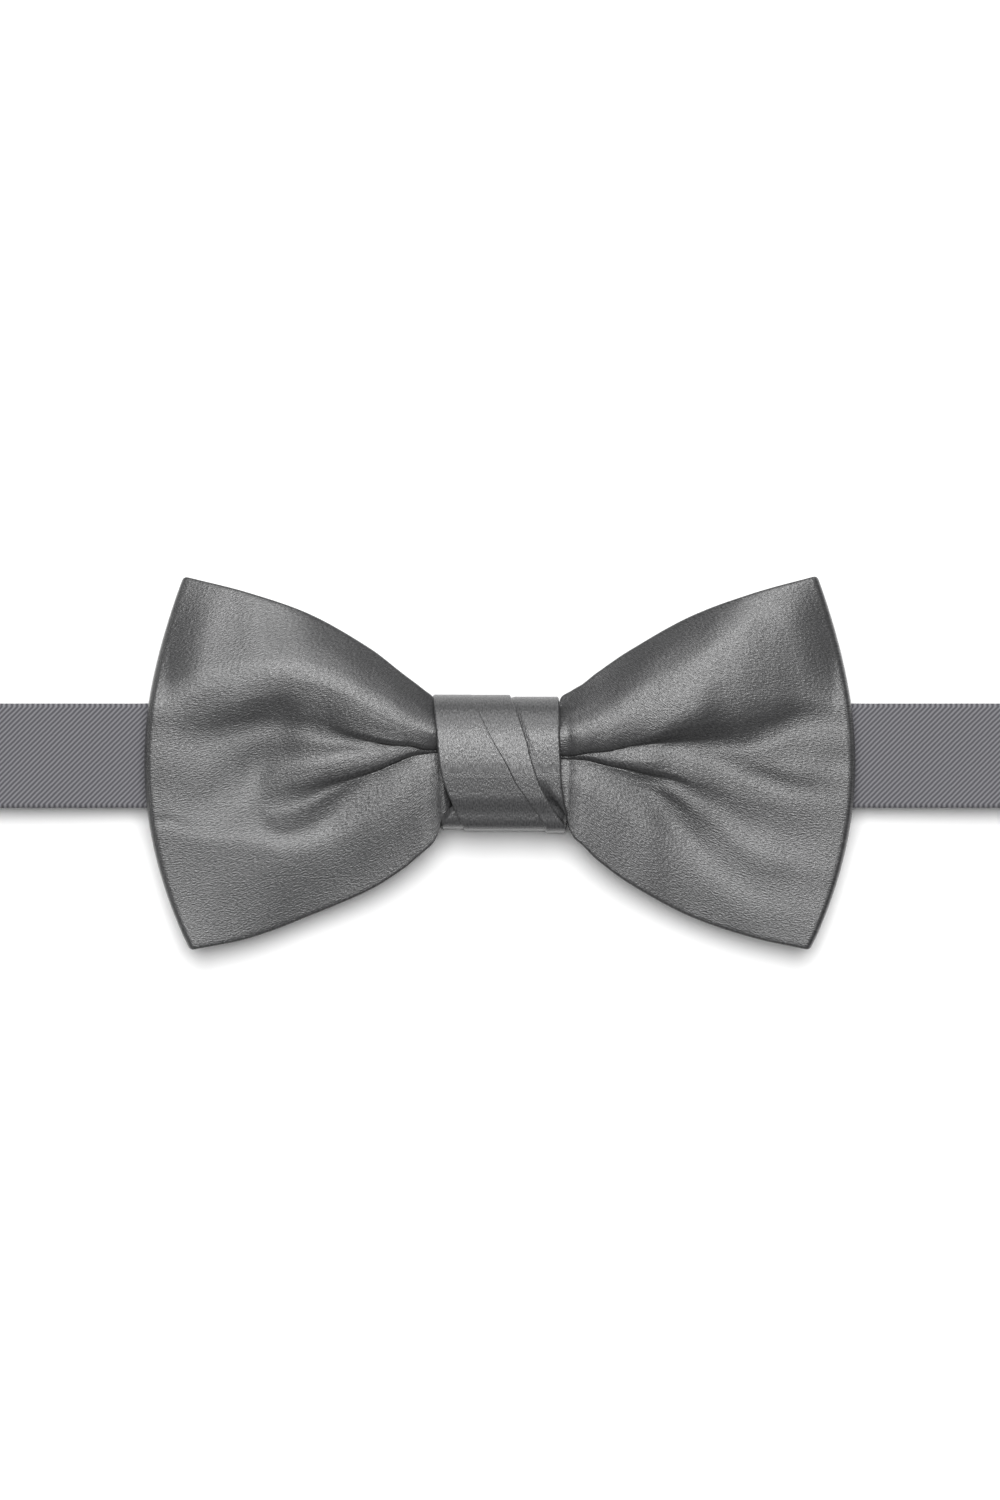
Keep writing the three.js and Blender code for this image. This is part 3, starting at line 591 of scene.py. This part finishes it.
def thick_cloth(middle, thickness, wrap):
    """A closed wall with rounded rims round a grid of middle points: columns along the cloth and
    rows across it. Returns the points, the faces and the cloth coordinates."""
    if wrap:
        around = np.concatenate([middle[-1:], middle, middle[:1]])
        along = around[2:] - around[:-2]
    else:
        along = np.gradient(middle, axis=0)
    across = np.gradient(middle, axis=1)
    normal = unit(np.cross(along, across))
    half, count = thickness / 2, middle.shape[1]
    flat_u = np.repeat(length_along(middle, 0)[:, count // 2][:, None], count, 1)
    flat_v = length_along(middle, 1)

    def rim(row, direction):
        """The rounded rim beyond one row, from the face on the side of the normal to the other."""
        angles = np.pi * (np.arange(STEPS["rim"]) + 1) / (STEPS["rim"] + 1)
        points = [
            middle[:, row] + half * (math.sin(a) * direction + math.cos(a) * normal[:, row])
            for a in angles
        ]
        return np.stack(points, 1)

    upper_rim = rim(-1, unit(middle[:, -1] - middle[:, -2]))
    lower_rim = rim(0, unit(middle[:, 0] - middle[:, 1]))[:, ::-1]
    ring = np.concatenate(
        [middle + half * normal, upper_rim, (middle - half * normal)[:, ::-1], lower_rim], axis=1
    )
    rim_rows = np.zeros(STEPS["rim"], int)
    rows = np.concatenate([
        np.arange(count), rim_rows + count - 1, np.arange(count)[::-1], rim_rows])
    cloth = np.stack([flat_u[:, rows], flat_v[:, rows]], -1)
    faces = grid_faces(ring.shape[0], ring.shape[1], wrap_columns=wrap, wrap_rows=True)
    points = ring.reshape(-1, 3)
    if not wrap:
        ends = [list(range(ring.shape[1])), [len(points) - 1 - k for k in range(ring.shape[1])]]
        faces = list(faces) + ends
    return points, faces, cloth.reshape(-1, 2)


# The bow: a ring of satin with a front layer, a rounded fold at each outer end and a back layer

def half_height(side, v, distance):
    """Half height of the cloth's middle surface, which ends short of its rounded rim."""
    name = "left" if side < 0 else "right"
    top = read_table(OUTLINE, "distance", name + "_top", distance)
    bottom = read_table(OUTLINE, "distance", name + "_bottom", distance)
    return np.where(v > 0, top, bottom) - BOW["thickness"] / 2


def between_lines(lines_y, y):
    """The line above each point, the share of the way to the next line, and the distance to it."""
    above = np.clip((y[..., None] < lines_y).sum(-1) - 1, 0, lines_y.shape[-1] - 2)
    top, bottom = pick(lines_y, above), pick(lines_y, above + 1)
    gap = np.maximum(top - bottom, LEAST_GAP)
    return above, (top - y) / gap, gap


def height_by_slopes(lines_y, slopes, y):
    """Height against the first line, walking down the wing over the slopes, and the height of each
    line."""
    gaps = np.maximum(lines_y[..., :-1] - lines_y[..., 1:], LEAST_GAP)
    rises = np.cumsum(gaps * (slopes[..., :-1] + slopes[..., 1:]) / 2, -1)
    line_heights = np.concatenate([np.zeros_like(rises[..., :1]), rises], -1)
    above, share, gap = between_lines(lines_y, y)
    first, second = pick(slopes, above), pick(slopes, above + 1)
    inside = np.clip(share, 0, 1)
    height = pick(line_heights, above) + gap * (
        first * inside + (second - first) * (inside**3 - inside**4 / 2))
    beyond = np.minimum(share, 0) * first + np.maximum(share - 1, 0) * second
    return height + gap * beyond, line_heights


def blend_lines(lines_y, values, y):
    """A smooth curve down the wing through a value at each line."""
    before, after = neighbours(lines_y.shape[-1])
    rates = (values[..., after] - values[..., before]) / (lines_y[..., before] - lines_y[..., after])
    above, share, gap = between_lines(lines_y, y)
    ends = pick(values, above), pick(values, above + 1)
    return curve(ends, (pick(rates, above), pick(rates, above + 1)), gap, np.clip(share, 0, 1))


def creases_at(side, distance, y):
    """How far the creases further up have dropped the cloth."""
    total = 0 * y
    for rows in CREASES[side].values():
        middle, drop, width = (
            read_table(rows, "distance", column, distance) for column in ("y", "drop", "width"))
        total = total - drop * smooth(middle - y, -width / 2, width / 2)
    return total


def side_inset(v):
    """How much further in the wing's outer end is than at mid height."""
    return BOW["side_bulge"] * v**2 - BOW["top_corner"] * np.maximum(v, 0) ** 3


def side_fall(distance, v):
    at_mid_height = distance + side_inset(v)
    corner = 1 - SIDE_FALL["corner_easing"] * smooth(v, *SIDE_FALL["corner_rows"])
    upper = smooth(v, *SIDE_FALL["rows"])
    return SIDE_FALL["depth"] * (smooth(at_mid_height, *SIDE_FALL["distances"]) * upper * corner)


def wing_height(side, x, y, v):
    """Height of the wing's front above the floor, from its fold lines and creases."""
    distance = np.abs(x)
    lines = list(WING_LINES[side].values())

    def lines_at(column, chosen):
        return np.stack([read_table(rows, "distance", column, distance) for rows in chosen], -1)

    lines_y = lines_at("y", lines)
    slopes = np.tan(np.radians(lines_at("slope", lines)))
    height, line_heights = height_by_slopes(lines_y, slopes, y)
    height += creases_at(side, distance, y)
    line_heights += creases_at(side, distance[..., None], lines_y)
    held = [i for i, rows in enumerate(lines) if "height" in rows]
    wanted = lines_at("height", [lines[i] for i in held])
    height += blend_lines(lines_y[..., held], wanted - line_heights[..., held], y)
    return height - side_fall(distance, v)


def knot_cloth_height(v):
    return mix(KNOT_CLOTH["crown"], KNOT_CLOTH["edge"], np.abs(v) ** KNOT_CLOTH["droop"])


def front_layer(side, x, y, v):
    free = smooth(np.abs(x), *BOW["folds_from"])
    return mix(knot_cloth_height(v), wing_height(side, x, y, v), free)


def band_front_middle(x):
    return BAND["thickness"] / 2 + read_table(FRONT_RUN, "distance", "rise", np.abs(x))


def back_layer(x):
    return band_front_middle(x) + BAND["thickness"] / 2 + BOW["back_clearance"] + BOW["thickness"] / 2


def turn_distance(v):
    return BOW["reach"] - side_inset(v) - BOW["thickness"] / 2 - BOW["turn_depth"]


def row_height(side, v, distance):
    """Height Y of a wing's rows: only those next to an edge follow the outline's sharp bends."""
    edge = half_height(side, v, distance)
    eased = np.mean([half_height(side, v, distance + off) for off in ROWS["eased_over"]], 0)
    return v * mix(eased, edge, v ** ROWS["edge_power"])


def wing_front(side, share, v):
    distance = mix(BOW["root"], turn_distance(v), share**COLUMN_CROWDING)
    y = row_height(side, v, distance)
    return np.stack([side * distance, y, front_layer(side, side * distance, y, v)], -1)


def wing_turn(side, share, v):
    angle = np.pi * share
    start = turn_distance(v)
    distance = start + BOW["turn_depth"] * np.sin(angle)
    shrink = mix(1, BOW["back_shrink"], smooth(share, 0, 1))
    edge_y = v * half_height(side, v, start)
    front_z = front_layer(side, side * start, edge_y, v)
    z = mix(back_layer(start), front_z, (1 + np.cos(angle)) / 2)
    return np.stack([side * distance, shrink * v * half_height(side, v, distance), z], -1)


def wing_back(side, share, v):
    distance = mix(turn_distance(v), BOW["root"], share)
    y = BOW["back_shrink"] * v * half_height(side, v, distance)
    return np.stack([side * distance, y, back_layer(distance)], -1)


def through_knot(direction, share, v):
    """The cloth inside the knot, which runs to the right on the front, 1, and back behind it, -1."""
    on_front = direction > 0
    x = direction * mix(-BOW["root"], BOW["root"], share)
    y = v * half_height(1, v, np.full_like(x, BOW["root"])) * (1 if on_front else BOW["back_shrink"])
    z = front_layer(1, x, y, v) if on_front else back_layer(x)
    return np.stack([x, y, z], -1)


def row_shares():
    """Places across the strip, from -1 to 1."""
    even = np.linspace(-1, 1, STEPS["rows"] + 1)
    return even - ROWS["crowding"] * np.sin(np.pi * even) / np.pi


def strip_part(shape, side, name, reverse=False):
    """The columns of one part of the ring, without its last one, where the next part starts."""
    shares = np.arange(STEPS[name]) / STEPS[name]
    share, v = np.meshgrid(1 - shares if reverse else shares, row_shares(), indexing="ij")
    return shape(side, share, v)


def bow_middle():
    """Middle surface of the ring of cloth, starting at the fold of the left wing."""
    return np.concatenate([
        strip_part(wing_front, -1, "front", reverse=True),
        strip_part(through_knot, 1, "middle"),
        strip_part(wing_front, 1, "front"),
        strip_part(wing_turn, 1, "turn"),
        strip_part(wing_back, 1, "back"),
        strip_part(through_knot, -1, "back_middle"),
        strip_part(wing_back, -1, "back", reverse=True),
        strip_part(wing_turn, -1, "turn", reverse=True),
    ])


def make_bow(material):
    points, faces, cloth = thick_cloth(bow_middle(), BOW["thickness"], wrap=True)
    return make_piece("bow_strip", "bow", points, faces, material, cloth)


def make_gathers(material):
    """The pleated cloth between the two layers that the knot holds together."""
    across, along = STEPS["gathers_round"], STEPS["gathers_along"]
    half_length, power = GATHERS["half_length"], GATHERS["corner_power"]
    angle = np.linspace(0, 2 * np.pi, across, endpoint=False)
    x = np.linspace(-half_length, half_length, along)
    x, angle = np.meshgrid(x, angle, indexing="ij")
    pleat = 1 - GATHERS["pleat_depth"] / GATHERS["half_height"] * (
        0.5 + 0.5 * np.cos(GATHERS["pleats"] * angle))
    taper_from = half_length - GATHERS["taper_length"]
    taper = 1 - GATHERS["taper"] * smooth(np.abs(x), taper_from, half_length)
    middle_z = (GATHERS["top"] + GATHERS["bottom"]) / 2
    half_z = (GATHERS["top"] - GATHERS["bottom"]) / 2
    y = GATHERS["half_height"] * signed_power(np.cos(angle), power) * pleat * taper
    z = middle_z + half_z * signed_power(np.sin(angle), power) * pleat * taper
    points = np.stack([x, y, z], -1)
    cloth = np.stack([x, angle * GATHERS["cloth_radius"]], -1)
    faces = list(grid_faces(along, across, wrap_rows=True))
    faces += [list(range(across)), [along * across - 1 - k for k in range(across)]]
    return make_piece("bow_gathers", "bow", points, faces, material, cloth)


# The knot: a satin strip wound twice round the gathers and the band

def knot_surface(angle, x, depth):
    """A point on the knot at an angle round it, at a depth below its outermost surface."""
    half_y = (KNOT["top"] - KNOT["bottom"]) / 2 - depth
    half_z = (KNOT["front"] - KNOT["rear"]) / 2 - depth
    front = np.where(np.cos(angle) > 0, SQUARENESS["upper_front"], SQUARENESS["lower_front"])
    squareness = np.where(np.sin(angle) > 0, front, SQUARENESS["rear"])
    sideways = signed_power(np.cos(angle), 2 / squareness)
    upwards = signed_power(np.sin(angle), 2 / squareness)
    y = (KNOT["top"] + KNOT["bottom"]) / 2 + half_y * sideways
    z = (KNOT["front"] + KNOT["rear"]) / 2 + half_z * upwards
    z = z - KNOT["sag"] * smooth(y, *KNOT["sag_heights"]) * np.clip(upwards, 0, 1)
    return np.stack([x + 0 * y, y, z], -1)


def knot_angles():
    """Angles round the knot that are about evenly far apart on its surface."""
    angle = np.linspace(0, 2 * np.pi, STEPS["knot_measured"] + 1)
    points = knot_surface(angle, 0, 0)
    walked = np.concatenate([[0], np.cumsum(np.linalg.norm(np.diff(points, axis=0), axis=1))])
    even = np.linspace(0, walked[-1], STEPS["knot_around"], endpoint=False)
    return np.interp(even, walked, angle), even


def knot_layer(name, material, left, right, top_depth, thickness):
    """One turn of the strip between two lines, with rounded edges. The lines are functions of the
    height Y, and the depth is one of X, Y and the share of the front, 1 there and 0 behind."""
    angle, walked = knot_angles()
    base = knot_surface(angle, 0, 0)[:, 1]
    rim = KNOT["edge_round"]
    edge = np.linspace(0, 1, STEPS["knot_edge"] + 1)[:-1] * rim
    from_left, to_right = left(base)[:, None], right(base)[:, None]
    width = to_right - from_left
    x = np.concatenate([
        from_left + edge,
        from_left + rim + (width - 2 * rim) * np.linspace(0, 1, STEPS["knot_across"]),
        to_right - edge[::-1],
    ], axis=1)

    def widen(values):
        return np.repeat(values[:, None], x.shape[1], 1)

    from_edge = np.minimum(x - from_left, to_right - x)
    roundness = np.sqrt(np.clip(1 - (1 - np.clip(from_edge / rim, 0, 1)) ** 2, 0, 1))
    front = widen(smooth(np.sin(angle), *KNOT["front_sines"]))
    depth = top_depth(x, widen(base), front)
    outer_depth = depth + thickness * (1 - roundness) * KNOT["edge_drop"]
    outer = knot_surface(widen(angle), x, outer_depth)
    inner = knot_surface(widen(angle), x, depth + thickness)
    ring = np.concatenate([outer, inner[:, ::-1]], axis=1)
    along = widen(walked)
    cloth = np.stack([
        np.concatenate([along, along[:, ::-1]], 1),
        np.concatenate([x, x[:, ::-1]], 1),
    ], -1)
    faces = grid_faces(ring.shape[0], ring.shape[1], wrap_columns=True, wrap_rows=True)
    return make_piece(name, "knot", ring, faces, material, cloth)


def knot_line(column):
    return lambda y: read_table(KNOT_LINES, "y", column, y)


def knot_dip(y, front):
    """How much the cloth falls towards the knot's lower edge."""
    return KNOT_FRONT["dip"] * smooth(y, *KNOT_FRONT["dip_heights"]) * front


def first_depth(x, y, front):
    """Beside the step the first turn dives low on the front, and stands out higher up."""
    past_step = x - knot_line("step")(y)
    low = smooth(y, *KNOT_FRONT["dive_heights"]) * front
    beside = smooth(x, *KNOT_FRONT["dive_across"]) * smooth(past_step, *KNOT_FRONT["dive_past_step"])
    high = smooth(y, *KNOT_FRONT["bare_heights"]) * front
    bare = smooth(past_step, *KNOT_FRONT["bare_past_step"])
    change = KNOT_FRONT["dive"] * low * beside - KNOT_FRONT["bare_rise"] * bare * high
    return 2 * KNOT["layer"] + change + knot_dip(y, front)


def second_depth(x, y, front):
    """Left of the pleat the cloth comes level with it at the top."""
    layer = KNOT["layer"]
    upper = smooth(y, *KNOT_FRONT["upper_heights"]) * front
    left = smooth(x - knot_line("pleat")(y), *KNOT_FRONT["left_of_pleat"])
    change = mix(KNOT_FRONT["past_pleat_drop"], KNOT_FRONT["left_depth"] - layer, left)
    return layer + upper * change + knot_dip(y, front)


def pleat_depth(x, y, front):
    upper = smooth(y, *KNOT_FRONT["upper_heights"]) * front
    return KNOT_FRONT["pleat_depth"] * upper + knot_dip(y, front)


def make_knot(material):
    first = knot_layer(
        "knot_first_turn", material, knot_line("inner_left"), knot_line("right"),
        first_depth, KNOT["inner_turn"])
    second = knot_layer(
        "knot_second_turn", material, knot_line("outer_left"),
        lambda y: knot_line("step")(y) - KNOT["under_pleat"], second_depth, KNOT["layer"])
    pleat = knot_layer(
        "knot_pleat", material, knot_line("pleat"), knot_line("step"), pleat_depth, KNOT["layer"])
    return first, second, pleat


# The neck band: one strip that runs from one side of the clasp round the loop to the other side

def turn_points(centre_x, centre_z, radius, side, steps):
    """A half circle that bulges to one side, from its lowest point to its highest."""
    angles = np.pi * np.arange(steps + 1) / steps - np.pi / 2
    return [(centre_x + side * radius * math.cos(a), centre_z + radius * math.sin(a)) for a in angles]


def band_line():
    """Points in X and Z along the middle of the band."""
    back = BAND["thickness"] / 2
    radius = BAND["end_rise"] / 2
    turn_x = (BAND["loop"] - 2 * math.pi * radius) / 4
    front_x = np.linspace(-turn_x, turn_x, STEPS["band_front"] + 1)[1:-1]
    front_run = [(x, band_front_middle(x)) for x in front_x]
    left_turn = turn_points(-turn_x, back + radius, radius, -1, STEPS["band_turn"])
    right_turn = turn_points(turn_x, back + radius, radius, 1, STEPS["band_turn"])[::-1]

    def straight(x_from, x_to):
        return [(x, back) for x in np.linspace(x_from, x_to, STEPS["band_back"] + 1)[1:-1]]

    left_end, right_end = band_end(-1), band_end(1)
    return np.array(
        left_end[::-1] + straight(left_end[0][0], -turn_x) + left_turn + front_run
        + right_turn + straight(turn_x, right_end[0][0]) + right_end)


def band_end(side):
    """The end that turns round an outer bar of the clasp and is sewn back on the band."""
    back = BAND["thickness"] / 2
    bar_x = CLASP["middle_x"] + side * (CLASP["length"] / 2 - CLASP["outer_bar"] / 2)
    over_bar = BAND["thickness"] + 2 * CLASP["gap"] + CLASP["thickness"]
    radius = over_bar / 2
    turn_x = bar_x - side * (
        CLASP["outer_bar"] / 2 + CLASP["slack"] + BAND["thickness"] / 2 - radius)
    line = [(bar_x, back)] + turn_points(turn_x, back + radius, radius, -side, STEPS["clasp_turn"])
    slope_from = bar_x + side * CLASP["outer_bar"] / 2
    sewn_rise = BAND["thickness"] - CLASP["seam"]
    for t in np.linspace(0, 1, STEPS["sewn_end"] + 1):
        rise = mix(over_bar, sewn_rise, float(smooth(t, 0, 1)))
        line.append((slope_from + side * CLASP["slope"] * t, back + rise))
    sewn_from = slope_from + side * CLASP["slope"]
    for distance in np.linspace(0, CLASP["sewn_tab"], STEPS["sewn_end"] + 1)[1:]:
        line.append((sewn_from + side * distance, back + sewn_rise))
    return line


def make_band(material):
    line = band_line()
    x, z = line[:, 0], line[:, 1]
    on_front_run = z > BAND["end_rise"] / 2
    squeezed = on_front_run * (1 - smooth(np.abs(x), *BAND["waist"]))
    half = BAND["thickness"] / 2
    top = BAND["middle_y"] + BAND["width"] / 2
    top = mix(top, BAND["waist_top"], squeezed) - half
    bottom = BAND["middle_y"] - BAND["width"] / 2 + half
    rows = STEPS["band_across"] + 1
    y = bottom + (top[:, None] - bottom) * np.linspace(0, 1, rows)
    middle = np.stack([np.repeat(x[:, None], rows, 1), y, np.repeat(z[:, None], rows, 1)], -1)
    points, faces, cloth = thick_cloth(middle, BAND["thickness"], wrap=False)
    return make_piece("neck_band_strip", "neck_band", points, faces, material, cloth)


# Materials

def new_material(name):
    material = bpy.data.materials.new(name)
    material.use_nodes = True
    return material, material.node_tree, material.node_tree.nodes["Principled BSDF"]


def set_inputs(node, values):
    for name, value in values.items():
        node.inputs[name].default_value = value


def scaled(tree, vector, scale):
    mapping = tree.nodes.new("ShaderNodeMapping")
    set_inputs(mapping, {"Scale": scale})
    tree.links.new(vector, mapping.inputs["Vector"])
    return mapping.outputs["Vector"]


def cloth_coordinates(tree, scale):
    """The cloth's own coordinates in metres, scaled along, across and through it."""
    attribute = tree.nodes.new("ShaderNodeAttribute")
    attribute.attribute_name = "cloth"
    return scaled(tree, attribute.outputs["Vector"], scale)


def noise(tree, vector, look):
    node = tree.nodes.new("ShaderNodeTexNoise")
    set_inputs(node, {"Scale": look["grain"], "Detail": look["detail"]})
    tree.links.new(vector, node.inputs["Vector"])
    return node.outputs["Fac"]


def ramp(tree, value, low, high):
    """Maps a noise to a range of numbers."""
    node = tree.nodes.new("ShaderNodeMapRange")
    set_inputs(node, {"From Min": NOISE_RANGE[0], "From Max": NOISE_RANGE[1]})
    set_inputs(node, {"To Min": low, "To Max": high})
    tree.links.new(value, node.inputs["Value"])
    return node.outputs["Result"]


def colour_by(tree, value, look, shader, shade=1):
    """Mixes a look's dark and light, both times a shade, into the shader's colour. A mix node has
    its colours in inputs 6 and 7, and the mixed one in output 2."""
    node = tree.nodes.new("ShaderNodeMix")
    node.data_type = "RGBA"
    dark, light = ([part * shade for part in look[name]] for name in ("dark", "light"))
    set_inputs(node, {6: (*dark, 1), 7: (*light, 1)})
    tree.links.new(value, node.inputs[0])
    tree.links.new(node.outputs[2], shader.inputs["Base Color"])


def add_bump(tree, height, distance, strength, shader):
    node = tree.nodes.new("ShaderNodeBump")
    set_inputs(node, {"Distance": distance, "Strength": strength})
    tree.links.new(height, node.inputs["Height"])
    tree.links.new(node.outputs["Normal"], shader.inputs["Normal"])


def satin(name, shade):
    material, tree, shader = new_material(name)
    threads = cloth_coordinates(tree, SATIN["threads"])
    grain = noise(tree, threads, SATIN)
    colour_by(tree, ramp(tree, grain, 0, 1), SATIN, shader, shade)
    tree.links.new(ramp(tree, grain, *SATIN["roughness"]), shader.inputs["Roughness"])
    set_inputs(shader, {"IOR": SATIN["ior"]})
    add_bump(tree, grain, SATIN["bump"], 1.0, shader)
    return material


def twill(name):
    material, tree, shader = new_material(name)
    vector = cloth_coordinates(tree, TWILL["slant"])
    ribs = tree.nodes.new("ShaderNodeTexWave")
    ribs.bands_direction = "DIAGONAL"
    own_pitch = 2 * math.pi / 10 / math.sqrt(2)  # of the bands at a scale of 1
    scale = own_pitch / (TWILL["rib_pitch"] * MM)
    set_inputs(ribs, {"Scale": scale, "Distortion": TWILL["waver"], "Detail": 1.0})
    tree.links.new(vector, ribs.inputs["Vector"])
    colour_by(tree, ribs.outputs["Fac"], TWILL, shader)
    set_inputs(shader, {"Roughness": TWILL["roughness"]})
    add_bump(tree, ribs.outputs["Fac"], TWILL["bump"], TWILL["bump_strength"], shader)
    return material


def steel(name):
    material, tree, shader = new_material(name)
    place = tree.nodes.new("ShaderNodeTexCoord")
    vector = scaled(tree, place.outputs["Object"], STEEL["brushing"])
    brushed = noise(tree, vector, STEEL)
    tree.links.new(ramp(tree, brushed, *STEEL["roughness"]), shader.inputs["Roughness"])
    colour_by(tree, brushed, STEEL, shader)
    set_inputs(shader, {"Metallic": 1.0})
    return material


def dress_clasp(material):
    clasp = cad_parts["clasp"]
    clasp.data.materials.clear()
    clasp.data.materials.append(material)
    bevel = clasp.modifiers.new("bevel", "BEVEL")
    bevel.width = CLASP["bevel"] * MM
    bevel.segments = STEPS["bevel"]
    bevel.limit_method = "ANGLE"


# Stage: floor, light and camera

def make_floor():
    material, tree, shader = new_material("paper_floor")
    place = tree.nodes.new("ShaderNodeTexCoord")
    mottle = noise(tree, place.outputs["Object"], FLOOR)
    colour_by(tree, mottle, FLOOR, shader)
    set_inputs(shader, {"Roughness": FLOOR["roughness"], "Specular IOR Level": FLOOR["specular"]})
    points = STEPS["floor"] + 1
    places = np.linspace(-FLOOR["half_size"], FLOOR["half_size"], points)
    x, y = np.meshgrid(places, places, indexing="ij")
    floor = make_object("floor", np.stack([x, y, 0 * x], -1), grid_faces(points, points), material)


def add_softbox(name, tilt, radius, floor):
    """A round lamp tilted from straight above towards the bow's upper edge. Radius is its angular
    one in degrees, and floor is the brightness that it gives a white floor."""
    lamp = bpy.data.lights.new(name, "AREA")
    lamp.shape = "DISK"
    distance = LIGHT["distance"]
    lamp.size = 2 * distance * math.tan(math.radians(radius))
    spread = math.cos(math.radians(tilt)) * math.cos(math.radians(radius)) ** 2
    lamp.energy = floor * math.pi**2 * distance**2 / spread
    lamp_object = bpy.data.objects.new(name, lamp)
    angle = math.radians(tilt)
    lamp_object.location = (0, distance * math.sin(angle), distance * math.cos(angle))
    lamp_object.rotation_euler = (-angle, 0, 0)
    bpy.context.scene.collection.objects.link(lamp_object)


def make_light():
    add_softbox("key_softbox", **LIGHT["key"])
    add_softbox("upper_softbox", **LIGHT["upper"])
    world = bpy.data.worlds.new("studio")
    world.use_nodes = True
    background = world.node_tree.nodes["Background"]
    set_inputs(background, {"Color": (1, 1, 1, 1), "Strength": LIGHT["world"]})
    bpy.context.scene.world = world
    bpy.context.scene.view_settings.view_transform = "Standard"


def make_camera():
    camera = bpy.data.cameras.new("camera")
    camera.lens = CAMERA["lens"]
    camera.sensor_width = CAMERA["sensor"]
    camera_object = bpy.data.objects.new("camera", camera)
    camera_object.location = (0, CAMERA["y"], CAMERA["height"])
    bpy.context.scene.collection.objects.link(camera_object)
    bpy.context.scene.camera = camera_object


# The scene

make_camera()
make_light()
make_floor()

bow_satin = satin("bow_satin_cloth", SATIN["bow_shade"])
# The knot's satin is the bow's satin painted lighter, to paint brighter light on the knot.
knot_satin_painted_lighter = satin("knot_satin_painted_lighter_cloth", SATIN["knot_painted_lighter_shade"])
bow = make_bow(bow_satin)
gathers = make_gathers(bow_satin)
first_turn, second_turn, pleat = make_knot(knot_satin_painted_lighter)
band = make_band(twill("band_twill_cloth"))
dress_clasp(steel("clasp_steel"))
